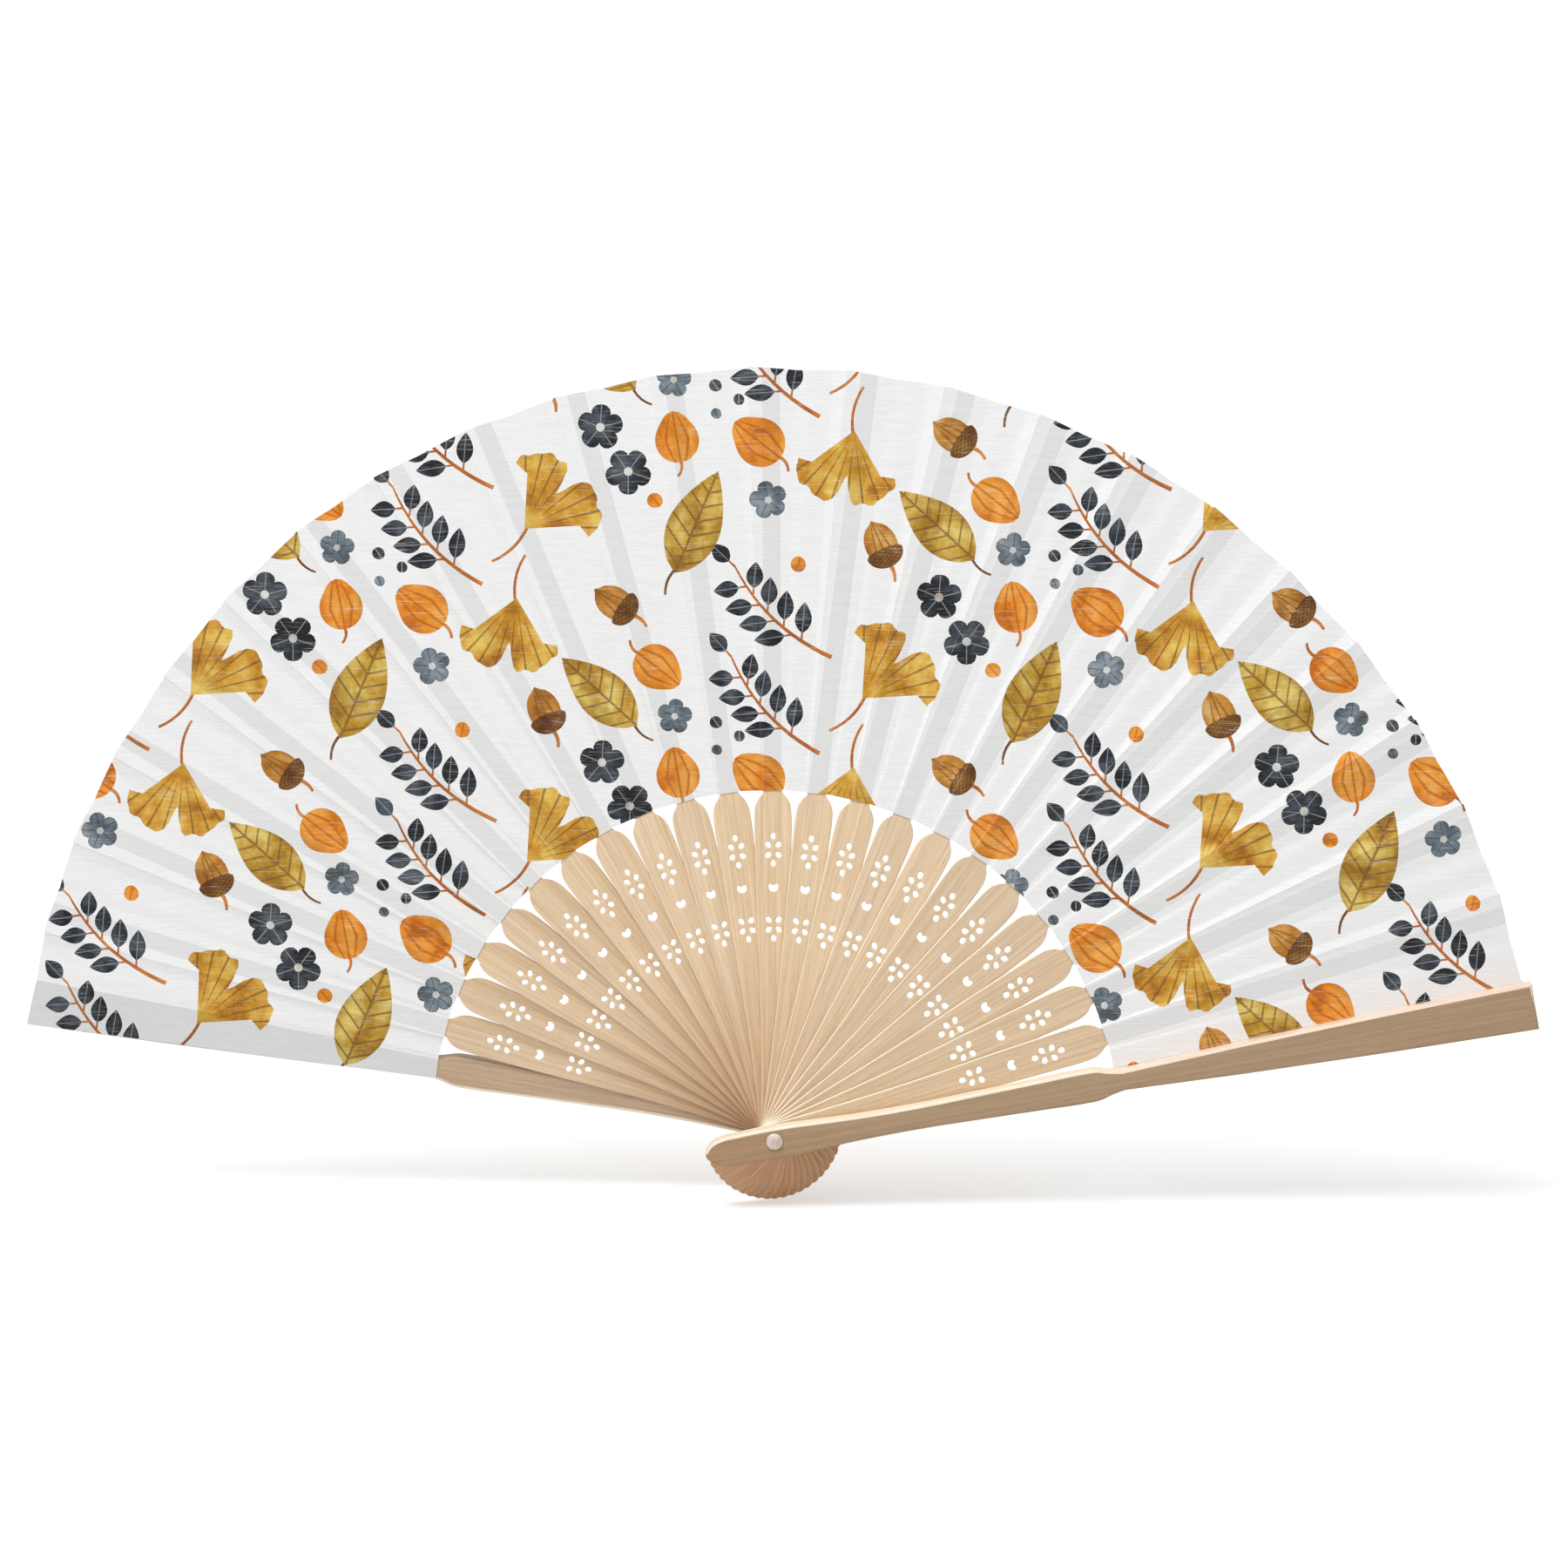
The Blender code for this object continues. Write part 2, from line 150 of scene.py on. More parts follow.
# Ribs and rivet
GUARD_EDGE_ROUND = 0.9 * MM
STICK_EDGE_ROUND = 0.28 * MM
FRONT_GUARD_DROP = 0.6 * MM
SLIP_SHOULDER = 0.5 * MM
SLIP_SHORT_OF_LEAF = 1.5 * MM
RIVET_BORE = 3.2 * MM
RIVET_CLEARANCE = 0.1 * MM
RIVET_HEAD_HEIGHT = 1.3 * MM
RIVET_SEAT_WIDTH = 5.1 * MM
RIVET_SEAT_DEPTH = 0.15 * MM
OVERRUN = 3.0 * MM
CUTTER_REACH = 20 * MM
SHARP_ANGLES = {"rib": 40, "rivet": 60, "cloth": 35}

# Cloth, in metres: its gaps, and the radius at which two points on a pleat's folds are found
CLOTH_CLEARANCE = 0.105 * MM
FOLD_GAP = 0.03 * MM
BLEND_RADIUS = 0.15
END_STRIP_ANGLE = math.radians(-1.45)

# Cloth, in millimetres: the flat margin beside a slip, how softly a fold starts, the lines that the
# faces follow, and between which distances from the rivet a shape of the print is used on a pleat
SLIP_MARGIN = 0.15
FOLD_SOFTNESS = 0.4
GUIDE_OFFSETS = (0.0, 0.45, 1.1, 2.2)
GUIDE_FIRST_ARC, GUIDE_LAST_ARC, GUIDE_ARC_STEP = 9, 8, 8.2
CLOTH_FROM, CLOTH_TO = 90, 216

# Cloth, plain numbers: the parts of an arc and of each panel's rim, and the most that a shape used on a
# pleat may lie beside its middle, as a share of the farthest distance
GUIDE_ARC_PARTS = 8
RIM_PARTS = 5
HALF_PLEAT_SPREAD = 0.07

# Pleat slopes as shares of the stated slope: the first pleats' share, what it loses from one rib over
# the next ones, the first fold's own share, and the share of the slope that sinks to a valley fold
SLOPE_FIRST, SLOPE_LOSS = 1.9, 1.4
SLOPE_FROM_RIB, SLOPE_OVER_RIBS = 3, 10
FIRST_FOLD_SHARE = 0.8
VALLEY_SHARE = 0.35

# Each pleat's cut edge runs a little aslant: the start and the change over its free panel and over
# its glued one, in millimetres, and the inner edge's drop and share of it
FREE_EDGE_START, FREE_EDGE_CHANGE = 0.15, -0.55
GLUED_EDGE_START, GLUED_EDGE_CHANGE = -0.40, 0.90
INNER_EDGE_DROP, INNER_EDGE_SHARE = 0.1, 0.35

# The leaf's outer edge bulges between two angles, in degrees, and fades in and out over two spans
BULGE_FROM, BULGE_FADE_IN = 42, 22
BULGE_TO, BULGE_FADE_OUT = 150, 26
BULGE_HEIGHT = 1.75
EDGE_DROP = 0.95

# Painted shade of the rib behind the cloth, seen through it: how much darker the cloth is over a slip and
# over a guard, and between which distances from its middle, in millimetres, a slip's soft edge lies
SLIP_SHOWS = 0.125
GUARD_SHOWS = 0.225
SLIP_EDGE = (2.34, 2.50)

# The stick in front, seen from the one behind, which places the painted shade it lays there: its half width
# near the rivet and that width's growth along the rib, and the distance between two sticks' middles per
# length along the rib
BLADE_FOOT = 3.2 * MM
BLADE_TAPER = 0.021
STICK_STEP = 0.1274

# Where a motif may be placed, in millimetres: how near the rivet, how far past the leaf, and down to
# which height
PRINT_FROM = 80.0
PRINT_PAST = 35.0
PRINT_BELOW = -20.0

# The sticks' tones: how much lighter the middle ones are painted, as painted light, how far warmth and shade
# vary, and how far the warm painted shade at the foot spreads at least
STICK_TONE_SEED = 7
PAINTED_LIGHT_LIFT = 0.09
TONE_WARMTH = 0.03
TONE_SHADES = (0.97, 1.02)
FOOT_LEAST = 0.15

# Along a rib: the head's warm tone, painted shade on the sticks, grows between the first two places, the
# foot's painted shade is full at the third, and the guards' edges turn rose between the last two
HEAD_WARM = (9 * MM, -3 * MM)
FOOT_WARM = 10 * MM
EDGE_ROSE = (80 * MM, 110 * MM)

# The floor: half its side, its colour, and its own light, which only the camera sees and which grows
# with the distance from the middle: from and to which distance, and from and to which strength
FLOOR_REACH = 6.0
FLOOR_COLOUR = (0.86, 0.86, 0.86, 1.0)
FLOOR_LIGHT = (0.25, 1.6, 0.42, 0.64)

# Soft lights: name, the setting that holds the power, size, place and aim
LIGHTS = (
    ("key", "key_power", 1.1, (-0.38, -0.55, 1.45), (0.0, 0.0, 0.10)),
    ("fill", "fill_power", 1.4, (0.9, -1.5, 0.55), (0.0, 0.0, 0.08)),
)
WHITE = (1.0, 1.0, 1.0, 1.0)


def length_property(name, description, millimetres):
    return FloatProperty(name=name, description=description, default=millimetres * MM, unit="LENGTH")


def angle_property(name, description, degrees):
    return FloatProperty(
        name=name, description=description, default=math.radians(degrees), subtype="ANGLE")


def power_property(name, description, watts):
    return FloatProperty(name=name, description=description, default=watts, unit="POWER")


class FanSizes(bpy.types.PropertyGroup):
    """Sizes of the ribs, the rivet and the leaf"""

    pitch_angle: angle_property("Pitch", "Angle between two neighbouring ribs", 7.3)
    first_stick_angle: angle_property("First stick", "Angle of the first stick from +X", 17.25)
    front_guard_angle: angle_property("Front guard", "Angle of the front guard from +X", 10.4)
    guard_thickness: length_property("Guard thickness", "Thickness of an outer rib", 5.6)
    stick_thickness: length_property("Stick thickness", "Thickness of a pierced blade", 0.66)
    rib_clearance: length_property("Rib clearance", "Gap between two ribs", 0.22)
    head_length: length_property("Head length", "Length of a rib below the rivet", 19.2)
    leaf_inner: length_property("Leaf inner radius", "Radius at which the cloth begins", 95.0)
    leaf_outer: length_property("Leaf outer radius", "Middle radius of the cloth's outer edge", 209.5)
    blade_width: length_property("Blade width", "Widest width of a stick", 10.2)
    slip_width: length_property("Slip width", "Width of the thin strip behind the cloth", 4.85)
    guard_width: length_property("Guard width", "Widest width of a guard below the leaf", 9.0)
    front_guard_tip: length_property("Front guard tip", "Radius of the front guard's tip", 210.8)
    rear_guard_tip: length_property("Rear guard tip", "Radius of the rear guard's tip", 208.0)
    rivet_head: length_property("Rivet head", "Diameter of the rivet's domes", 4.7)
    cloth_thickness: length_property("Cloth thickness", "Thickness of the leaf", 0.13)
    mountain_angle: angle_property("Mountain fold", "Angle from a rib to the mountain fold beside it", 1.7)
    relief_slope: FloatProperty(
        name="Pleat slope", description="Rise of the cloth towards its folds, per length",
        default=0.11, min=0.0, max=0.2)


def colour_property(name, description, default):
    return FloatVectorProperty(
        name=name, description=description, default=(*default, 1.0), size=4, subtype="COLOR",
        min=0.0, max=1.0)


class FanColours(bpy.types.PropertyGroup):
    """Colours of the wood, the cloth, its print and the rivet"""

    bamboo_pale: colour_property("Bamboo, pale", "Pale fibres of the sticks", (0.84, 0.645, 0.43))
    bamboo_deep: colour_property("Bamboo, deep", "Deep fibres of the sticks", (0.66, 0.475, 0.295))
    guard_pale: colour_property("Guard, pale", "Pale fibres of the guards' outer faces", (0.455, 0.31, 0.185))
    guard_deep: colour_property("Guard, deep", "Deep fibres of the guards' outer faces", (0.36, 0.235, 0.13))
    inside_pale: colour_property("Guard inside, pale", "Pale fibres of the inner faces", (0.60, 0.44, 0.29))
    inside_deep: colour_property("Guard inside, deep", "Deep fibres of the inner faces", (0.43, 0.29, 0.18))
    # Pale edges: partly the planed bamboo's own paler colour, partly a painted highlight on the side of each
    # rib that faces up on the right half.
    edge_cream_highlight: colour_property("Edge, cream", "Planed edges of the guards", (0.95, 0.84, 0.67))
    edge_rose_highlight: colour_property("Edge, rose", "Planed edges of the guards beside the leaf", (0.94, 0.75, 0.61))
    stick_edge_highlight: colour_property("Stick edge", "Planed edges of the sticks", (0.98, 0.92, 0.76))
    # Painted shade where a stick lies under the next one.
    overlap_shade: colour_property("Rubbed", "Tint where a stick slides under the next one", (0.88, 0.84, 0.77))
    # Painted shade: the sticks' warm head and foot tints stand in for the shade at the heads and above the
    # rivet.
    head_shade_tint: colour_property("Head tint", "Warm shade of the sticks' heads", (0.90, 0.72, 0.60))
    foot_shade_tint: colour_property("Foot tint", "Warm shade of the sticks above the rivet", (0.80, 0.69, 0.61))
    guard_head_tint: colour_property("Guard head tint", "Warm shade of the guards' heads", (0.99, 0.92, 0.82))
    cloth: colour_property("Cloth", "Unprinted cloth", (0.91, 0.91, 0.91))
    gold: colour_property("Gold ink", "Ginkgo leaves", (0.64, 0.31, 0.03))
    olive: colour_property("Olive gold ink", "Beech leaves", (0.55, 0.32, 0.035))
    brown: colour_property("Brown ink", "Acorn cups and veins", (0.22, 0.09, 0.02))
    nut: colour_property("Nut ink", "Acorns", (0.58, 0.25, 0.035))
    orange: colour_property("Orange ink", "Lantern fruits and dots", (0.82, 0.27, 0.02))
    rust: colour_property("Rust ink", "Stems", (0.62, 0.20, 0.035))
    charcoal: colour_property("Charcoal ink", "Blossoms and leaflets", (0.022, 0.026, 0.032))
    slate: colour_property("Slate ink", "Small blossoms", (0.13, 0.17, 0.20))
    rivet: colour_property("Rivet", "Pearly plastic", (0.58, 0.43, 0.35))


class FanPrint(bpy.types.PropertyGroup):
    """The print's repeat"""

    repeat: length_property("Repeat", "Side of the print's repeat", 92.0)
    gap: length_property("Gap", "Least gap between two motifs", 2.2)
    seed: IntProperty(name="Seed", description="Which layout the print has", default=4)
    tries: IntProperty(name="Tries", description="Places tried for each motif", default=400, min=1)


class FanStage(bpy.types.PropertyGroup):
    """Camera, light and floor"""

    elevation: angle_property("Camera elevation", "How far the camera looks down", 8.0)
    distance: FloatProperty(
        name="Camera distance", description="From the camera to the point it looks at",
        default=1.455, unit="LENGTH")
    aim: FloatVectorProperty(
        name="Camera aim", description="The point that the camera looks at",
        default=(2.65 * MM, -13.95 * MM, 98.6 * MM), size=3, subtype="TRANSLATION")
    lens: FloatProperty(
        name="Lens", description="Focal length in millimetres, on a 36 mm wide sensor", default=123.27)
    key_power: power_property("Key light", "Power of the soft light above", 17.0)
    fill_power: power_property("Fill light", "Power of the soft light beside the camera", 2.2)
    world_level: FloatProperty(
        name="Sky level", description="Strength of the even light from all round", default=0.44)
    floor_height: length_property("Floor height", "Height of the floor, just under the heads", -19.6)


def rib_angle(sizes, rib):
    if rib == 0:
        return sizes.front_guard_angle
    return sizes.first_stick_angle + (rib - 1) * sizes.pitch_angle


def layer_pitch(sizes):
    return sizes.stick_thickness + sizes.rib_clearance


def layer_depth(sizes, rib):
    """The middle of a rib's layer in the stack, along +Y."""
    return (rib - REAR_GUARD / 2) * layer_pitch(sizes)


def stack_depth(sizes):
    sticks = STICK_COUNT * sizes.stick_thickness + REAR_GUARD * sizes.rib_clearance
    return 2 * sizes.guard_thickness + sticks


def slip_thickness(sizes):
    return layer_pitch(sizes) - 2 * sizes.cloth_thickness - 3 * CLOTH_CLEARANCE


def cloth_offset(sizes):
    return (slip_thickness(sizes) + sizes.cloth_thickness) / 2 + CLOTH_CLEARANCE


def end_strip_depth(sizes):
    return layer_depth(sizes, 0) + cloth_offset(sizes) - sizes.cloth_thickness - CLOTH_CLEARANCE


# ---------------------------------------------------------------- node helpers


def put(tree, kind, links=None, **settings):
    """A node with its settings, and its inputs set or linked by name or number."""
    node = tree.nodes.new(kind)
    for name, value in settings.items():
        setattr(node, name, value)
    for key, value in (links or {}).items():
        socket = node.inputs[key]
        if isinstance(value, bpy.types.NodeSocket):
            tree.links.new(value, socket)
        else:
            socket.default_value = value
    return node


def maths(tree, operation, first, second=0.0):
    return put(tree, "ShaderNodeMath", {0: first, 1: second}, operation=operation).outputs[0]


def times(tree, first, second):
    return maths(tree, "MULTIPLY", first, second)


def plus(tree, first, second):
    return maths(tree, "ADD", first, second)


def minus(tree, first, second):
    return maths(tree, "SUBTRACT", first, second)


def larger(tree, first, second):
    return maths(tree, "MAXIMUM", first, second)


def unsigned(tree, value):
    return maths(tree, "ABSOLUTE", value)


def parts_of(tree, vector):
    """The three numbers of a vector."""
    return put(tree, "ShaderNodeSeparateXYZ", {0: vector}).outputs


def vector_of(tree, **numbers):
    return put(tree, "ShaderNodeCombineXYZ", numbers).outputs[0]


def uv_place(tree, name):
    return put(tree, "ShaderNodeUVMap", uv_map=name).outputs["UV"]


def blend_colours(tree, share, first, second, way="MIX"):
    node = put(tree, "ShaderNodeMix", {0: share, 6: first, 7: second}, data_type="RGBA", blend_type=way)
    return node.outputs[2]


def tinted(tree, colour, tint):
    return blend_colours(tree, 1.0, colour, tint, "MULTIPLY")


def spread(tree, value, low, high, first=0.0, last=1.0):
    """The value's way from low to high, eased and clamped, as a number from first to last."""
    links = {"Value": value, "From Min": low, "From Max": high, "To Min": first, "To Max": last}
    return put(tree, "ShaderNodeMapRange", links, interpolation_type="SMOOTHSTEP").outputs["Result"]


def stretched(tree, vector, scale):
    return put(tree, "ShaderNodeMapping", {"Vector": vector, "Scale": scale}).outputs["Vector"]


def noise(tree, vector, scale, detail=2.0, roughness=0.5):
    links = {"Vector": vector, "Scale": scale, "Detail": detail, "Roughness": roughness}
    return put(tree, "ShaderNodeTexNoise", links).outputs["Fac"]


def new_group(name, inputs, outputs):
    tree = bpy.data.node_groups.new(name, "ShaderNodeTree")
    for label, kind, default in inputs:
        socket = tree.interface.new_socket(name=label, in_out="INPUT", socket_type=kind)
        if default is not None:
            socket.default_value = default
    for label, kind in outputs:
        tree.interface.new_socket(name=label, in_out="OUTPUT", socket_type=kind)
    return tree, tree.nodes.new("NodeGroupInput").outputs, tree.nodes.new("NodeGroupOutput").inputs


def use_group(tree, name, **values):
    node = tree.nodes.new("ShaderNodeGroup")
    node.node_tree = bpy.data.node_groups[name]
    for label, value in values.items():
        socket = node.inputs[label.replace("_", " ")]
        if isinstance(value, bpy.types.NodeSocket):
            tree.links.new(value, socket)
        else:
            socket.default_value = value
    return node.outputs


def new_material(name, **fixed):
    """A material's tree and its Principled shader, with plain values set on the shader."""
    material = bpy.data.materials.new(name)
    material.use_nodes = True
    shader = material.node_tree.nodes["Principled BSDF"]
    for label, value in fixed.items():
        shader.inputs[label.replace("_", " ")].default_value = value
    return material, material.node_tree, shader


def bump(tree, height, distance, strength=1.0):
    links = {"Height": height, "Distance": distance, "Strength": strength}
    return put(tree, "ShaderNodeBump", links).outputs["Normal"]


# ---------------------------------------------------------------- finishes


def make_grain_group():
    """Bamboo fibres along X: fine streaks, broader bands and short dark pores."""
    tree, given, out = new_group(
        "bamboo_grain",
        [("Vector", "NodeSocketVector", None), ("Pale", "NodeSocketColor", (1, 1, 1, 1)),
         ("Deep", "NodeSocketColor", (0, 0, 0, 1)), ("Shift", "NodeSocketFloat", 0.0)],
        [("Colour", "NodeSocketColor"), ("Height", "NodeSocketFloat"), ("Roughness", "NodeSocketFloat")],
    )
    shift = vector_of(tree, X=times(tree, given["Shift"], 3.7), Y=times(tree, given["Shift"], 1.3))
    moved = put(tree, "ShaderNodeVectorMath", {0: given["Vector"], 1: shift}, operation="ADD").outputs[0]
    fine = noise(tree, stretched(tree, moved, (50.0, 3000.0, 900.0)), 1.0, 3.0, 0.65)
    vein = noise(tree, stretched(tree, moved, (20.0, 1250.0, 400.0)), 1.0, 2.0)
    band = noise(tree, stretched(tree, moved, (8.0, 420.0, 200.0)), 1.0, 2.0)
    pore = noise(tree, stretched(tree, moved, (300.0, 5600.0, 900.0)), 1.0, 1.0)
    pores = spread(tree, pore, 0.62, 0.74)
    broad = plus(tree, times(tree, vein, 0.42), times(tree, band, 0.17))
    share = spread(tree, plus(tree, times(tree, fine, 0.41), broad), 0.34, 0.66)
    colour = blend_colours(tree, share, given["Deep"], given["Pale"])
    dark = blend_colours(tree, 0.55, given["Deep"], (0.10, 0.05, 0.02, 1.0))
    colour = blend_colours(tree, times(tree, pores, 0.35), colour, dark)
    tree.links.new(colour, out["Colour"])
    height = minus(tree, fine, times(tree, pores, 0.5))
    tree.links.new(height, out["Height"])
    tree.links.new(spread(tree, fine, 0.3, 0.7, 0.58, 0.46), out["Roughness"])


def make_weave_group():
    """Plain cloth under ink: threads straight across, the painted shade of the rib that shows through, and
    dye loss.
    """
    tree, given, out = new_group(
        "leaf_weave",
        [("Place", "NodeSocketVector", None), ("Leaf", "NodeSocketVector", None),
         ("Ink", "NodeSocketColor", (1, 1, 1, 1)), ("Worn", "NodeSocketFloat", 0.0)],
        [("Colour", "NodeSocketColor"), ("Height", "NodeSocketFloat")],
    )
    slub = noise(tree, stretched(tree, given["Place"], (75.0, 1.0, 2300.0)), 1.0, 2.0, 0.7)
    thread = noise(tree, stretched(tree, given["Place"], (260.0, 1.0, 4200.0)), 1.0, 1.0)
    warp = noise(tree, stretched(tree, given["Place"], (5000.0, 1.0, 400.0)), 1.0, 1.0)
    streak = plus(tree, times(tree, slub, 0.65), times(tree, thread, 0.35))
    across, shows, _ = parts_of(tree, given["Leaf"])
    # Painted shade of the rib behind, seen through the cloth.
    behind = spread(tree, unsigned(tree, across), *SLIP_EDGE, 1.0, 0.0)
    tint = spread(tree, streak, 0.32, 0.68, 0.94, 1.035)
    tint = times(tree, tint, spread(tree, warp, 0.3, 0.7, 0.985, 1.01))
    tint = times(tree, tint, minus(tree, 1.0, times(tree, behind, shows)))
    wear = times(tree, spread(tree, streak, 0.54, 0.68), given["Worn"])
    ink = blend_colours(tree, wear, given["Ink"], (0.85, 0.85, 0.84, 1.0))
    grey = put(tree, "ShaderNodeCombineColor", {0: tint, 1: tint, 2: tint}).outputs[0]
    tree.links.new(tinted(tree, ink, grey), out["Colour"])
    height = plus(tree, streak, times(tree, warp, 0.3))
    tree.links.new(height, out["Height"])


def make_wash_group():
    """Watercolour: pigment pools in soft clouds and gathers towards the rim of a motif."""
    tree, given, out = new_group(
        "ink_wash",
        [("Place", "NodeSocketVector", None), ("Ink", "NodeSocketColor", (1, 1, 1, 1)),
         ("Rim", "NodeSocketFloat", 0.0), ("Veins", "NodeSocketFloat", 0.0),
         ("Vein Ink", "NodeSocketColor", (0, 0, 0, 1)), ("Thin", "NodeSocketColor", (1, 1, 1, 1))],
        [("Colour", "NodeSocketColor")],
    )
    cloud = noise(tree, given["Place"], 105.0, 4.0, 0.62)
    blot = noise(tree, given["Place"], 420.0, 3.0, 0.6)
    thin = spread(tree, cloud, 0.44, 0.66)
    colour = blend_colours(tree, times(tree, thin, 0.85), given["Ink"], given["Thin"])
    deep = tinted(tree, given["Ink"], (0.56, 0.44, 0.38, 1.0))
    pool = times(tree, spread(tree, cloud, 0.49, 0.34), 0.85)
    colour = blend_colours(tree, pool, colour, deep)
    rim = times(tree, given["Rim"], spread(tree, blot, 0.25, 0.75, 0.25, 0.75))
    colour = blend_colours(tree, rim, colour, deep)
    colour = blend_colours(tree, given["Veins"], colour, given["Vein Ink"])
    tree.links.new(colour, out["Colour"])


def overlap_shade_share(tree, place, strength):
    """How much painted shade the stick in front lays on a spot of the one behind.

    That is most near that stick's edge, but little right beside it, and only on the sticks whose foot
    is painted as shaded.
    """
    along, across, _ = parts_of(tree, place)
    half_width = plus(tree, times(tree, along, BLADE_TAPER), BLADE_FOOT)
    pitch = larger(tree, times(tree, along, STICK_STEP), 1 * MM)
    from_edge = maths(tree, "DIVIDE", minus(tree, across, half_width), pitch)
    near = times(tree, spread(tree, from_edge, -0.42, -0.90),
                spread(tree, from_edge, -1.02, -0.80, 0.2, 1.0))
    return times(tree, near, spread(tree, strength, 0.76, 1.0))


def make_wood(name, face, edge, tints, reach, inside=None, inward=1, overlap_shade=None):
    """Bamboo with its fibres along the rib, pale edges and a warmer, darker tone near the rivet.

    The pale edges are partly the planed bamboo's own colour and partly a painted highlight on the rib's
    +Y side, which faces up on the right half. On the sticks the warmer, darker tone at the head and the
    foot above the rivet is painted shade. The object's colour tones its wood, and its alpha says how far
    the warm painted shade spreads to the blade, how much painted shade the stick in front lays on it and
    how much the edge highlight fades.
    """
    material, tree, shader = new_material(name, Coat_Weight=0.12, Coat_Roughness=0.35)
    spot = put(tree, "ShaderNodeTexCoord").outputs
    own = put(tree, "ShaderNodeObjectInfo").outputs
    pale, deep = (tuple(colour) for colour in face)
    along = parts_of(tree, spot["Object"])[0]
    facing = parts_of(tree, spot["Normal"])
    if inside:
        turned = spread(tree, times(tree, facing[2], float(inward)), 0.5, 0.8)
        pale = blend_colours(tree, turned, pale, tuple(inside[0]))
        deep = blend_colours(tree, turned, deep, tuple(inside[1]))
    grain = use_group(
        tree, "bamboo_grain", Vector=spot["Object"], Pale=pale, Deep=deep, Shift=own["Random"])
    # Painted shade on the sticks: a warm, darker tint at the head and, by the alpha, above the rivet.
    head, foot = (tinted(tree, grain["Colour"], tuple(tint)) for tint in tints)
    spill = times(tree, spread(tree, along, reach, FOOT_WARM), own["Alpha"])
    colour = blend_colours(tree, spill, grain["Colour"], foot)
    colour = blend_colours(tree, spread(tree, along, *HEAD_WARM), colour, head)
    colour = tinted(tree, colour, own["Color"])
    # Painted shade where the stick in front covers this one.
    if overlap_shade:
        share = overlap_shade_share(tree, spot["Object"], own["Alpha"])
        colour = blend_colours(tree, share, colour, tinted(tree, colour, tuple(overlap_shade)))
    # Painted highlight, also the planed bamboo's paler colour: the pale edge lies on each rib's +Y side only,
    # which faces up on the right half, and fades on the sticks painted as shaded.
    upward = spread(tree, facing[1], 0.04, 0.24)
    planed = times(tree, upward, spread(tree, own["Alpha"], 0.4, 1.0, 1.0, 0.15))
    cream = blend_colours(tree, spread(tree, along, *EDGE_ROSE), tuple(edge[0]), tuple(edge[1]))
    streaks = blend_colours(tree, spread(tree, grain["Height"], 0.2, 0.7, 0.25, 0.0), cream, colour)
    colour = blend_colours(tree, planed, colour, streaks)
    tree.links.new(colour, shader.inputs["Base Color"])
    tree.links.new(grain["Roughness"], shader.inputs["Roughness"])
    tree.links.new(bump(tree, grain["Height"], 0.02 * MM, 0.5), shader.inputs["Normal"])
    return material


def make_pearl(colour):
    """Milky rivet plastic with a soft cloud and a glossy skin."""
    material, tree, shader = new_material(
        "rivet_pearl", Coat_Weight=0.5, Coat_Roughness=0.12, Roughness=0.35, Subsurface_Weight=0.25,
        Subsurface_Scale=0.001)
    place = put(tree, "ShaderNodeTexCoord").outputs["Object"]
    cloud = noise(tree, place, 380.0, 3.0)
    pale = blend_colours(tree, 0.45, tuple(colour), (1.0, 1.0, 1.0, 1.0))
    mixed = blend_colours(tree, spread(tree, cloud, 0.3, 0.7), tuple(colour), pale)
    tree.links.new(mixed, shader.inputs["Base Color"])
    tree.links.new(bump(tree, cloud, 0.05 * MM, 0.4), shader.inputs["Normal"])
    return material


def stripes(tree, value, count, width):
    """Thin lines at regular steps of a value."""
    part = maths(tree, "FRACT", times(tree, value, count))
    away = unsigned(tree, minus(tree, part, 0.5))
    return spread(tree, away, width, width * 0.35)


def vein_mask(tree, motif, kind):
    """Veins drawn in a motif's own frame: its length runs from 0 to 1 and its half width to 1."""
    if kind == "none":
        return 0.0
    along, across, _ = parts_of(tree, motif)
    side = unsigned(tree, across)
    rib = spread(tree, side, 0.07, 0.03)
    if kind == "fan":
        turn = maths(tree, "ARCTAN2", across, along)
        fade = spread(tree, plus(tree, along, side), 0.15, 0.5)
        return times(tree, stripes(tree, turn, 4.6, 0.11), fade)
    if kind == "paired":
        slant = minus(tree, along, times(tree, side, 0.16))
        return larger(tree, rib, stripes(tree, slant, 7.0, 0.12))
    if kind == "meridian":
        bow = maths(tree, "POWER", minus(tree, 1.02, unsigned(tree, along)), 0.6)
        ring = maths(tree, "DIVIDE", side, larger(tree, bow, 0.05))
        lines = spread(tree, unsigned(tree, minus(tree, ring, 0.5)), 0.10, 0.04)
        return larger(tree, rib, lines)
    if kind == "scales":
        lean = times(tree, along, 1.4)
        right = stripes(tree, plus(tree, lean, across), 2.6, 0.13)
        left = stripes(tree, minus(tree, lean, across), 2.6, 0.13)
        return larger(tree, right, left)
    return rib


def flat_place(tree):
    """Where a spot lies in the print, laid into the XZ plane."""
    place = parts_of(tree, uv_place(tree, "Print"))
    return vector_of(tree, X=place[0], Z=place[1])


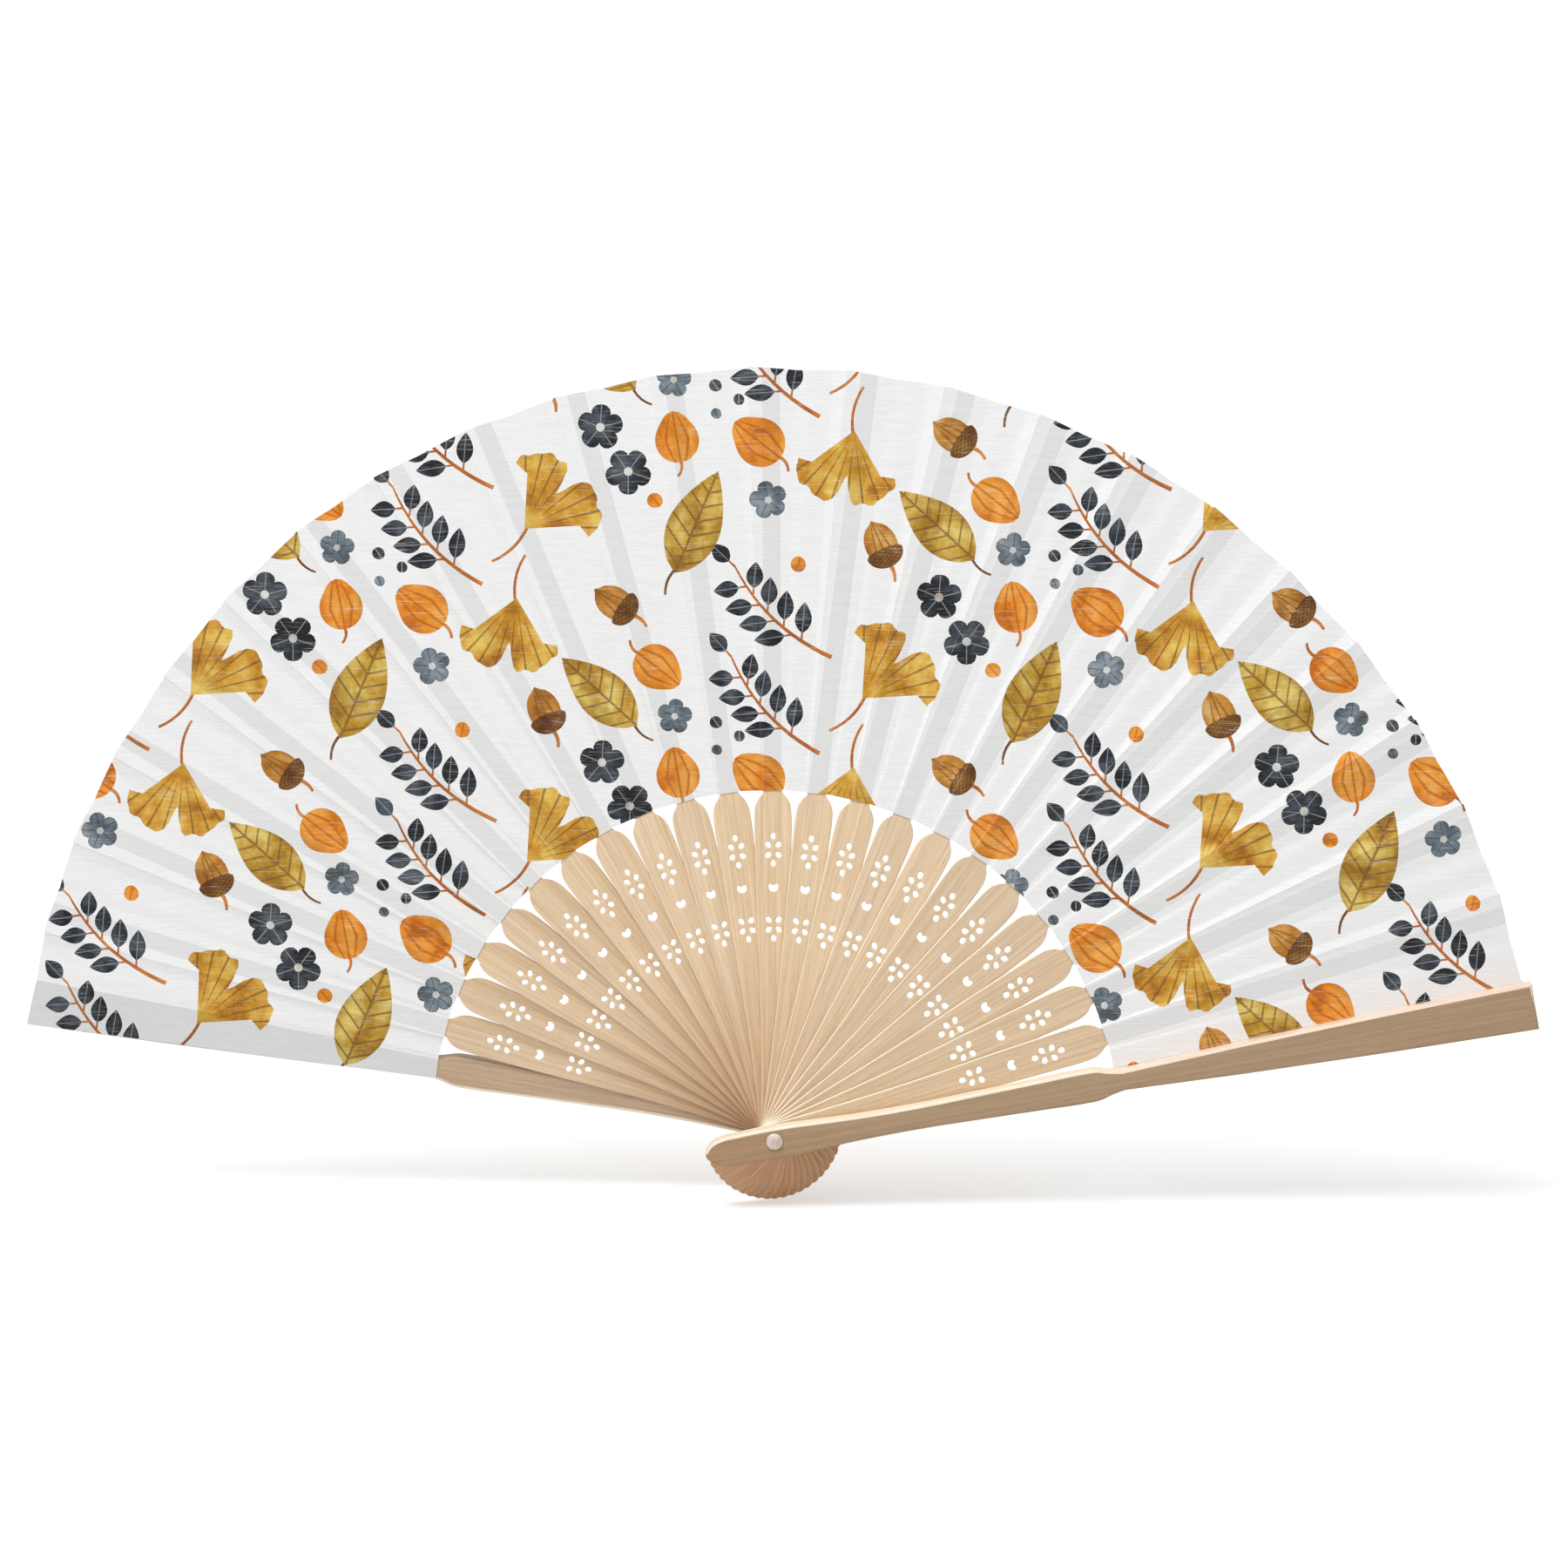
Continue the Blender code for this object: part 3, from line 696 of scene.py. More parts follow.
def make_cloth(name, ink, thin=None, vein_ink=None, veins=None, worn=0.35):
    """One ink on the leaf's cloth, or one plain colour where no veins are named."""
    material, tree, shader = new_material(name, Roughness=0.82, Specular_IOR_Level=0.25)
    leaf = uv_place(tree, "Leaf")
    flat = flat_place(tree)
    if veins is None:
        weave = use_group(tree, "leaf_weave", Place=flat, Leaf=leaf, Ink=tuple(ink), Worn=0.0)
    else:
        motif = uv_place(tree, "Motif")
        side = unsigned(tree, parts_of(tree, motif)[1])
        wash = use_group(
            tree, "ink_wash", Place=flat, Ink=tuple(ink), Thin=tuple(thin), Vein_Ink=tuple(vein_ink),
            Veins=times(tree, vein_mask(tree, motif, veins), 0.75),
            Rim=spread(tree, side, 0.55, 1.0))
        weave = use_group(tree, "leaf_weave", Place=flat, Leaf=leaf, Ink=wash["Colour"], Worn=worn)
    tree.links.new(weave["Colour"], shader.inputs["Base Color"])
    tree.links.new(bump(tree, weave["Height"], 0.05 * MM, 0.5), shader.inputs["Normal"])
    return material


def make_reverse(cloth):
    """The leaf's back: bare cloth with the print just showing through."""
    material, tree, shader = new_material("leaf_reverse", Roughness=0.85, Specular_IOR_Level=0.2)
    through = put(tree, "ShaderNodeVertexColor", layer_name="Ink").outputs["Color"]
    colour = blend_colours(tree, 0.30, tuple(cloth), through)
    past_slip = vector_of(tree, X=100.0)
    weave = use_group(
        tree, "leaf_weave", Place=flat_place(tree), Leaf=past_slip, Ink=colour, Worn=0.0)
    tree.links.new(weave["Colour"], shader.inputs["Base Color"])
    tree.links.new(bump(tree, weave["Height"], 0.05 * MM, 0.5), shader.inputs["Normal"])
    return material


# ---------------------------------------------------------------- mesh helpers


def clamped(value):
    return min(max(value, 0.0), 1.0)


def mirrored(points):
    """The same points on the other side of the X axis, in the opposite order."""
    return [Vector((point.x, -point.y)) for point in reversed(points)]


def oval(centre, length, width, taper, turn, sides):
    loop = []
    for step in range(sides):
        around = 2 * math.pi * step / sides
        fullness = 1 + taper * math.cos(around)
        point = Vector((math.cos(around) * length / 2, math.sin(around) * fullness * width / 2))
        point.rotate(Matrix.Rotation(turn, 2))
        loop.append(Vector(centre) + point)
    return loop


def pierced_holes():
    """Loops for the two flowers of petals, the bitten round hole between them and the rivet's bore."""
    loops = []
    for flower, reach, ends in PIERCED_FLOWERS:
        places = [(end * PETAL_TIP_REACH, 0.0) for end in ends]
        places += [(along * reach, across * reach) for along in (-1, 1) for across in (-1, 1)]
        for along, across in places:
            turn = math.atan2(across, along)
            loops.append(oval((flower + along, across), *PETAL_SIZE, PETAL_TAPER_SHARE, turn, 14))
    moon = []
    for step in range(17):
        around = math.pi / 4 + 1.5 * math.pi * step / 16
        reach = Vector((math.cos(around), math.sin(around))) * MOON_WIDTH / 2
        moon.append(Vector((MOON_PLACE, 0.0)) + reach)
    moon.append(Vector((MOON_PLACE + MOON_BITE_SHARE * MOON_WIDTH / 2, 0.0)))
    loops.append(moon)
    loops.append(oval((0.0, 0.0), RIVET_BORE, RIVET_BORE, 0.0, 0.0, 24))
    return loops


def half_outline(sizes, shares, widest):
    points = []
    for along, width in shares:
        length = sizes.head_length if along < 0 else sizes.leaf_inner
        points.append(Vector((along * length, width * widest / 2)))
    return points


def applied_mesh(thing, name):
    """The object's mesh with its modifiers applied, welded; the object itself is removed."""
    bpy.context.view_layer.update()
    graph = bpy.context.evaluated_depsgraph_get()
    mesh = bpy.data.meshes.new_from_object(thing.evaluated_get(graph))
    mesh.name = name
    work = bmesh.new()
    work.from_mesh(mesh)
    bmesh.ops.remove_doubles(work, verts=work.verts, dist=1e-6)
    work.to_mesh(mesh)
    work.free()
    bpy.data.objects.remove(thing, do_unlink=True)
    return mesh


def flat_blank(name, half, straight_end, holes, thickness, rounding, steps, segments):
    """A flat rib of one thickness with rounded edges, drawn as a closed curve with holes."""
    curve = bpy.data.curves.new(name, "CURVE")
    curve.dimensions = "2D"
    curve.fill_mode = "BOTH"
    curve.extrude = thickness / 2 - rounding
    curve.bevel_depth = rounding
    curve.bevel_resolution = segments
    curve.offset = -rounding
    points = half + straight_end + mirrored(straight_end) + mirrored(half[1:])
    straight = range(len(half), len(half) + 2 * len(straight_end))
    spline = curve.splines.new("BEZIER")
    spline.bezier_points.add(len(points) - 1)
    spline.use_cyclic_u = True
    spline.resolution_u = steps
    for index, (knot, point) in enumerate(zip(spline.bezier_points, points)):
        knot.co = (point.x, point.y, 0.0)
        knot.handle_left_type = knot.handle_right_type = "VECTOR" if index in straight else "AUTO"
    for loop in holes:
        spline = curve.splines.new("POLY")
        spline.points.add(len(loop) - 1)
        spline.use_cyclic_u = True
        for knot, point in zip(spline.points, loop):
            knot.co = (point.x, point.y, 0.0, 1.0)
    return add_object(name, applied_mesh(add_object(name, curve), name))


def add_object(name, data):
    made = bpy.data.objects.new(name, data)
    bpy.context.scene.collection.objects.link(made)
    return made


def carve(thing, shape, low, high):
    """Takes a box or a cylinder, given by its lowest and highest corners, out of a blank."""
    if shape == "box":
        bpy.ops.mesh.primitive_cube_add(size=1.0)
    else:
        bpy.ops.mesh.primitive_cylinder_add(vertices=48, radius=0.5, depth=1.0)
    cutter = bpy.context.object
    low, high = Vector(low), Vector(high)
    cutter.data.transform(Matrix.Translation((low + high) / 2) @ Matrix.Diagonal((*(high - low), 1.0)))
    boolean = thing.modifiers.new("carve", "BOOLEAN")
    boolean.operation = "DIFFERENCE"
    boolean.solver = "EXACT"
    boolean.object = cutter
    return cutter


def finish_carving(thing, cutters, name):
    mesh = applied_mesh(thing, name)
    for cutter in cutters:
        bpy.data.objects.remove(cutter, do_unlink=True)
    return mesh


def soft_shade(mesh, kind):
    mesh.shade_smooth()
    mesh.set_sharp_from_angle(angle=math.radians(SHARP_ANGLES[kind]))


def keep_flats_flat(thing):
    weighted = thing.modifiers.new("flat_faces", "WEIGHTED_NORMAL")
    weighted.keep_sharp = True
    weighted.weight = 100


def stand_upright(thing, depth, angle):
    thing.location = (0.0, depth, 0.0)
    thing.rotation_euler = (math.pi / 2, -angle, 0.0)


# ---------------------------------------------------------------- ribs and rivet


def make_stick_mesh(sizes):
    """One pierced stick: a blade with soft edges, and a slip that is planed thin on both faces."""
    half = half_outline(sizes, BLADE_OUTLINE_SHARES, sizes.blade_width)
    tip = sizes.leaf_outer - SLIP_SHORT_OF_LEAF
    slip = [Vector((sizes.leaf_inner + SLIP_SHOULDER, sizes.slip_width / 2)),
            Vector((tip, sizes.slip_width / 2))]
    blank = flat_blank("stick", half, slip, pierced_holes(), sizes.stick_thickness, STICK_EDGE_ROUND, 6, 2)
    start = sizes.leaf_inner - SLIP_SHOULDER
    side = sizes.blade_width
    cutters = []
    for facing in (1, -1):
        ends = sorted((facing * slip_thickness(sizes) / 2, facing * OVERRUN))
        cutters.append(carve(blank, "box", (start, -side, ends[0]), (tip + OVERRUN, side, ends[1])))
    mesh = finish_carving(blank, cutters, "stick_look")
    soft_shade(mesh, "rib")
    return mesh


def make_guard(sizes, rib, wood):
    """A thick outer rib with rounded edges and an inner face that is let in behind the cloth."""
    front = rib == 0
    tip = sizes.front_guard_tip if front else sizes.rear_guard_tip
    half = half_outline(sizes, GUARD_OUTLINE_SHARES, sizes.guard_width)
    leaf_section = [
        Vector((sizes.leaf_inner + share * (tip - sizes.leaf_inner), width / 2))
        for share, width in GUARD_LEAF_WIDTHS]
    name = "front_guard_look" if front else "rear_guard_look"
    thick = sizes.guard_thickness
    blank = flat_blank(name, half, leaf_section, [], thick, GUARD_EDGE_ROUND, 8, 4)
    if front:
        blank.data.transform(Matrix.Translation((0.0, -FRONT_GUARD_DROP, 0.0)))
        inner = end_strip_depth(sizes) - sizes.cloth_thickness / 2 - CLOTH_CLEARANCE
        depth = (thick - stack_depth(sizes)) / 2
        let_in = depth + thick / 2 - inner
    else:
        inner = layer_depth(sizes, REAR_GUARD) - slip_thickness(sizes) / 2
        depth = (stack_depth(sizes) - thick) / 2
        let_in = inner - (depth - thick / 2)
    inward = -1 if front else 1
    ends = sorted((inward * (thick / 2 - let_in), inward * (thick / 2 + OVERRUN)))
    start = sizes.leaf_inner - SLIP_SHOULDER
    side = CUTTER_REACH
    cutters = [carve(blank, "box", (start, -side, ends[0]), (tip + OVERRUN, side, ends[1]))]
    bore = RIVET_BORE / 2
    cutters.append(carve(blank, "round", (-bore, -bore, -thick), (bore, bore, thick)))
    seat = RIVET_SEAT_WIDTH / 2
    ends = sorted((-inward * (thick / 2 - RIVET_SEAT_DEPTH), -inward * thick))
    cutters.append(carve(blank, "round", (-seat, -seat, ends[0]), (seat, seat, ends[1])))
    mesh = finish_carving(blank, cutters, name)
    mesh.materials.append(wood)
    soft_shade(mesh, "rib")
    guard = add_object(name, mesh)
    keep_flats_flat(guard)
    stand_upright(guard, depth, rib_angle(sizes, rib))
    return guard


def make_rivet(sizes, pearl):
    """The pivot pin with a low, soft-edged dome on each end."""
    shaft = RIVET_BORE / 2 - RIVET_CLEARANCE
    rim = sizes.rivet_head / 2
    seat = stack_depth(sizes) / 2 - RIVET_SEAT_DEPTH + RIVET_CLEARANCE
    dome = []
    for step in range(13):
        around = math.pi / 2 * (1 - step / 12)
        dome.append((rim * math.cos(around), seat + RIVET_HEAD_HEIGHT * math.sin(around)))
    profile = dome + [(shaft, seat), (shaft, -seat)] + [(out, -up) for out, up in reversed(dome)]
    mesh = bpy.data.meshes.new("rivet_look")
    work = bmesh.new()
    corners = [work.verts.new((out, 0.0, up)) for out, up in profile]
    for here, following in zip(corners, corners[1:]):
        work.edges.new((here, following))
    work.to_mesh(mesh)
    work.free()
    turned = add_object("rivet_turned", mesh)
    screw = turned.modifiers.new("turned", "SCREW")
    screw.axis = "Z"
    screw.steps = screw.render_steps = 56
    screw.use_merge_vertices = True
    screw.merge_threshold = 1e-6
    mesh = applied_mesh(turned, "rivet_look")
    mesh.materials.append(pearl)
    soft_shade(mesh, "rivet")
    rivet = add_object("rivet_look", mesh)
    rivet.rotation_euler = (math.pi / 2, 0.0, 0.0)
    return rivet


# ---------------------------------------------------------------- the print's motifs, in millimetres


def leaf_loop(length, width, fullest, points):
    """A smooth leaf with a pointed tip, from its base at the origin along +X."""
    left = []
    for step in range(1, points):
        along = step / points
        swell = math.sin(math.pi * along ** fullest) ** 0.9
        left.append(Vector((along * length, swell * width / 2)))
    return [Vector((0.0, 0.0))] + left + [Vector((length, 0.0))] + mirrored(left)


def stalk_loop(points, start_width, end_width):
    """A tapering stroke along a line of points."""
    left, right = [], []
    last = len(points) - 1
    for index, point in enumerate(points):
        ahead = points[min(index + 1, last)] - points[max(index - 1, 0)]
        side = Vector((-ahead.y, ahead.x)).normalized()
        half = (start_width + (end_width - start_width) * index / last) / 2
        left.append(point + side * half)
        right.append(point - side * half)
    return left + list(reversed(right))


def bent_line(start, end, bow, points):
    start, end = Vector(start), Vector(end)
    side = Vector((start.y - end.y, end.x - start.x)) * bow
    line = []
    for step in range(points + 1):
        share = step / points
        line.append(start.lerp(end, share) + side * 4 * share * (1 - share))
    return line


def turned_loop(loop, place, angle):
    spin = Matrix.Rotation(angle, 2)
    return [Vector(place) + spin @ point for point in loop]


def shape(ink, loop, length, half_width):
    """A closed loop in one ink, with the place of each point in the shape's own frame."""
    return ink, loop, lambda point: Vector((point.x / length, point.y / half_width))


def placed_shape(ink, loop, place, angle, length, half_width):
    """A shape drawn at the origin and then moved, which keeps its own frame."""
    back = Matrix.Rotation(-angle, 2)

    def own(point):
        local = back @ (point - Vector(place))
        return Vector((local.x / length, local.y / half_width))

    return ink, turned_loop(loop, place, angle), own


def ginkgo():
    """A fan-shaped leaf with a wavy rim, a notch in its middle and a long stalk."""
    reach, half_angle = 22.0, math.radians(52)
    loop = [Vector((0.0, 0.0))]
    for share in (0.35, 0.7):
        loop.append(Vector((math.cos(half_angle * 0.8), -math.sin(half_angle * 0.8))) * reach * share)
    for step in range(37):
        turn = half_angle * (step / 18 - 1)
        notch = 1 - 0.42 * math.exp(-((turn - 0.04) / 0.085) ** 2)
        wave = 1 + 0.022 * math.sin(turn * 17) + 0.014 * math.sin(turn * 31 + 1)
        corner = 1 - 0.16 * abs(turn / half_angle) ** 5
        loop.append(Vector((math.cos(turn), math.sin(turn))) * reach * notch * wave * corner)
    for share in (0.7, 0.35):
        loop.append(Vector((math.cos(half_angle * 0.8), math.sin(half_angle * 0.8))) * reach * share)
    stalk = stalk_loop(bent_line((1.5, 0.0), (-13.0, 0.0), 0.10, 7), 0.9, 0.75)
    return [shape("rust", stalk, 14.0, 0.5), shape("gold", loop, reach, reach)]


def beech():
    """A smooth pointed leaf with paired veins."""
    blade = leaf_loop(30.0, 14.5, 0.80, 14)
    stalk = stalk_loop(bent_line((1.5, 0.0), (-6.5, 0.0), -0.12, 5), 0.8, 0.65)
    return [shape("brown", stalk, 8.0, 0.4), shape("olive", blade, 30.0, 7.25)]


def sprig():
    """A bowed stalk with dark leaflets on short stems."""
    line = bent_line((0.0, 0.0), (38.0, 0.0), 0.09, 12)
    parts = [shape("rust", stalk_loop(line, 1.25, 0.55), 38.0, 0.6)]
    last = len(line) - 1
    for index, step in enumerate((*range(3, 11), last)):
        side = 1 if index % 2 else -1
        lean = 0.0 if step == last else side * math.radians(52)
        base = line[step]
        stem_end = base + Vector((math.cos(lean), math.sin(lean))) * 2.4
        stem = stalk_loop([base, base.lerp(stem_end, 0.5), stem_end], 0.7, 0.5)
        parts.insert(0, shape("rust", stem, 2.4, 0.3))
        length = 9.2 - 0.25 * index
        leaflet = leaf_loop(length, 4.9, 0.85, 7)
        place = stem_end - (stem_end - base) * 0.1
        parts.append(placed_shape("charcoal", leaflet, place, lean, length, 2.45))
    return parts


def acorn():
    """A nut in its scaly cup."""
    nut = []
    for step in range(22):
        turn = 2 * math.pi * step / 22
        point = Vector((math.cos(turn) * 6.4, math.sin(turn) * 4.7))
        if abs(turn - math.pi) > 2.9:
            point.x += 0.9
        nut.append(Vector((point.x + 3.2, point.y)))
    cup = []
    for step in range(15):
        turn = math.pi / 2 + math.pi * step / 14
        cup.append(Vector((math.cos(turn) * 4.4 + 0.6, math.sin(turn) * 5.4)))
    cup += [Vector(point) for point in ((1.5, -4.4), (1.9, -2.0), (2.0, 0.0), (1.9, 2.0), (1.5, 4.4))]
    stalk = stalk_loop(bent_line((-3.2, 0.0), (-8.2, 0.6), 0.10, 4), 1.2, 0.8)
    return [
        shape("rust", stalk, 5.0, 0.5),
        shape("nut", nut, 9.6, 4.7),
        shape("cup", cup, 4.4, 5.4),
    ]


def lantern():
    """A papery round fruit with a pointed tip and curved ribs."""
    loop = []
    for step in range(28):
        turn = 2 * math.pi * step / 28
        reach = 6.6 * (1 + 0.32 * max(0.0, math.cos(turn)) ** 7)
        loop.append(Vector((math.cos(turn) * reach, math.sin(turn) * reach * 0.98)))
    stalk = stalk_loop(bent_line((-6.0, 0.0), (-10.5, 1.5), 0.16, 4), 1.0, 0.7)
    return [shape("rust", stalk, 5.0, 0.5), shape("orange", loop, 8.7, 6.5)]


def blossom(ink, size):
    """Five round petals about a pale eye."""
    parts = []
    for petal in range(5):
        turn = 2 * math.pi * petal / 5
        loop = oval((size * 0.30, 0.0), size * 0.46, size * 0.44, 0.18, 0.0, 14)
        parts.append(placed_shape(ink, loop, (0.0, 0.0), turn, size * 0.53, size * 0.22))
    eye = oval((0.0, 0.0), size * 0.20, size * 0.20, 0.0, 0.3, 10)
    parts.append(shape("eye", eye, size * 0.2, size * 0.2))
    return parts


def dot(ink, size):
    return [shape(ink, oval((0.0, 0.0), size, size * 0.93, 0.06, 0.4, 14), size, size)]


def motif_shapes(kind, serial):
    """The shapes of one motif, from the bottom one up."""
    if kind == "blossom":
        return blossom("charcoal", 12.4)
    if kind == "small_blossom":
        return blossom("slate", 9.6)
    if kind == "dot":
        return dot(("charcoal", "orange", "slate")[serial % 3], (3.4, 4.6, 3.0)[serial % 3])
    return {"ginkgo": ginkgo, "beech": beech, "sprig": sprig, "acorn": acorn, "lantern": lantern}[kind]()


def repeats(place, side):
    """A place and its neighbours in a half-drop repeat."""
    return [Vector((place.x + column * side, place.y + row * side + (column % 2) * side / 2))
            for column in (-1, 0, 1) for row in (-2, -1, 0, 1)]


def room_circles(kind, place, turn, scale):
    axis = Vector((math.cos(turn), math.sin(turn)))
    return [(place + axis * along * scale, radius * scale) for along, radius in MOTIF_ROOM[kind]]


def tossed_layout(settings):
    """Motifs tossed over one repeat, each at the snuggest tried place that leaves the least gap.

    A motif that finds no such place is left out.
    """
    chance = random.Random(settings.seed)
    side = settings.repeat / MM
    least = settings.gap / MM
    placed, layout = [], []
    for kind, count in MOTIF_ORDER:
        for serial in range(count):
            best = None
            for _ in range(settings.tries):
                place = Vector((chance.uniform(0, side), chance.uniform(0, side)))
                turn = math.pi / 2 + chance.uniform(-1.0, 1.0) + (math.pi if chance.random() < 0.3 else 0.0)
                scale = chance.uniform(0.92, 1.08)
                room = math.inf
                for middle, radius in room_circles(kind, place, turn, scale):
                    for near in repeats(middle, side):
                        for other, other_radius in placed:
                            room = min(room, (near - other).length - radius - other_radius)
                snug = room if room < least else 1000 - room
                if best is None or snug > best[0]:
                    best = (snug, place, turn, scale)
            if best[0] < least and best[0] != -math.inf:
                continue
            _, place, turn, scale = best
            placed += room_circles(kind, place, turn, scale)
            layout.append((kind, serial, place, turn, scale))
    return layout


def printed_shapes(settings, outer):
    """Every shape of the print that may reach the leaf, in millimetres in the fan's plane."""
    side = settings.repeat / MM
    reach = outer / MM
    shapes = []
    columns = range(math.floor(-reach / side) - 1, math.ceil(reach / side) + 1)
    rows = range(-2, math.ceil(reach / side) + 1)
    for kind, serial, place, turn, scale in tossed_layout(settings):
        parts = motif_shapes(kind, serial)
        for column in columns:
            for row in rows:
                corner = place + Vector((column * side, row * side + (column % 2) * side / 2))
                if not PRINT_FROM < corner.length < reach + PRINT_PAST or corner.y < PRINT_BELOW:
                    continue
                spin = Matrix.Rotation(turn, 2) * scale
                back = spin.inverted()
                for ink, loop, own in parts:
                    moved = [corner + spin @ point for point in loop]

                    def own_frame(point, own=own, back=back, corner=corner):
                        return own(back @ (point - corner))

                    shapes.append((ink, moved, own_frame))
    return shapes


# ---------------------------------------------------------------- the pleated leaf


def counter_clockwise(loop):
    area = sum(a.x * b.y - b.x * a.y for a, b in zip(loop, loop[1:] + loop[:1]))
    return loop if area > 0 else list(reversed(loop))


def polar(radius, angle):
    return Vector((radius * math.cos(angle), radius * math.sin(angle)))


def outer_radius(sizes, angle, side):
    """The cut edge bulges a little over the middle ribs, and each pleat ends a little aslant."""
    degrees = math.degrees(angle)
    bulge = clamped((degrees - BULGE_FROM) / BULGE_FADE_IN) * clamped((BULGE_TO - degrees) / BULGE_FADE_OUT)
    bulge = bulge * bulge * (3 - 2 * bulge)
    return sizes.leaf_outer / MM - EDGE_DROP + BULGE_HEIGHT * bulge + side


def pleat_folds(sizes, rib):
    """The mountain fold before a rib, the valley fold beside it and the mountain fold past it."""
    before = rib_angle(sizes, rib - 1) + sizes.mountain_angle
    past = rib_angle(sizes, rib) + sizes.mountain_angle
    return before, past - sizes.pitch_angle / 2, past


def pleat_slope(sizes, rib):
    """The first pleats stand up more than the last ones, which lie nearly flat.

    The first stick's fold stays low, because it closes under the strip on the front guard.
    """
    if rib == 1:
        return sizes.relief_slope * FIRST_FOLD_SHARE
    return sizes.relief_slope * (
        SLOPE_FIRST - SLOPE_LOSS * clamped((rib - SLOPE_FROM_RIB) / SLOPE_OVER_RIBS))


def cloth_depth(sizes, rib, angle, radius):
    """The depth of a pleat's cloth, whose free panel mirrors its glued one about the valley fold.

    The free panel lies behind the rib before and the glued one before its own rib. Both are flat over
    the slip, and beyond it they come forward to their mountain fold and sink to their valley fold.
    """
    before, valley, _ = pleat_folds(sizes, rib)
    free = angle < valley
    own_angle = 2 * valley - angle if free else angle
    across = radius * math.sin(own_angle - rib_angle(sizes, rib))
    forward = across > 0
    edge = sizes.slip_width / MM / 2 + SLIP_MARGIN
    beyond = max(abs(across) - edge, 0.0)
    on_guard = (rib == REAR_GUARD and not (free and forward)) or (rib == 1 and free and forward)
    slope = pleat_slope(sizes, rib - 1 if free and forward else rib) * (1.0 if forward else VALLEY_SHARE)
    lift = 0.0 if on_guard else math.copysign(slope * beyond * beyond / (beyond + FOLD_SOFTNESS), across)
    glued = layer_depth(sizes, rib) - cloth_offset(sizes)
    if not free:
        return glued - lift * MM
    behind = layer_depth(sizes, rib - 1) + cloth_offset(sizes)
    fold_angle = sizes.mountain_angle if forward else sizes.pitch_angle / 2 - sizes.mountain_angle
    fold = radius * math.sin(fold_angle)
    share = min(beyond / (fold - edge), 1.0)
    if not forward:
        return behind + (glued - behind) * share * share - lift * MM
    rise = 0.0 if rib == 1 else 2 * cloth_offset(sizes) - sizes.cloth_thickness - FOLD_GAP
    return behind - rise * share - lift * MM


def pleat_rim(sizes, low, valley, high):
    """The pleat's cut outline in the fan's plane, in millimetres."""
    inner, outer = [], []
    parts = RIM_PARTS
    cuts = [low + (valley - low) * part / parts for part in range(parts)] if valley > low else []
    cuts += [valley + (high - valley) * part / parts for part in range(parts + 1)]
    for angle in cuts:
        if angle < valley:
            aslant = FREE_EDGE_START + FREE_EDGE_CHANGE * (angle - low) / (valley - low)
        else:
            aslant = GLUED_EDGE_START + GLUED_EDGE_CHANGE * (angle - valley) / (high - valley)
        inner.append(polar(sizes.leaf_inner / MM - INNER_EDGE_DROP - INNER_EDGE_SHARE * aslant, angle))
        outer.append(polar(outer_radius(sizes, angle, aslant), angle))
    return inner + list(reversed(outer))


def guide_lines(sizes, rib, low, valley, high):
    """Lines that the cloth's faces follow: its folds, the slip's edges and arcs about the rivet."""
    lines = []
    near, far = sizes.leaf_inner / MM - 2, sizes.leaf_outer / MM + 3
    if valley > low:
        lines.append([polar(near, valley), polar(far, valley)])
    slip = sizes.slip_width / MM / 2 + SLIP_MARGIN
    axes = [rib_angle(sizes, rib)]
    if valley > low:
        axes.append(2 * valley - axes[0])
    for axis in axes:
        spin = Matrix.Rotation(axis, 2)
        for across in (slip + offset for offset in GUIDE_OFFSETS):
            for side in (-across, across):
                lines.append([spin @ Vector((near, side)), spin @ Vector((far, side))])
    radius = near + GUIDE_FIRST_ARC
    parts = GUIDE_ARC_PARTS
    while radius < far - GUIDE_LAST_ARC:
        lines.append([polar(radius, low + (high - low) * part / parts) for part in range(parts + 1)])
        radius += GUIDE_ARC_STEP
    return lines


def backing_share(sizes, rib, along):
    """The slip's width as a share of what lies behind the cloth here: the slip or the rear guard."""
    if rib != REAR_GUARD:
        return 1.0
    share = (along * MM - sizes.leaf_inner) / (sizes.rear_guard_tip - sizes.leaf_inner)
    for (low, narrow), (high, wide) in zip(GUARD_LEAF_WIDTHS, GUARD_LEAF_WIDTHS[1:]):
        if share <= high or high == 1.0:
            way = clamped((share - low) / (high - low))
            return sizes.slip_width / (narrow + (wide - narrow) * way)


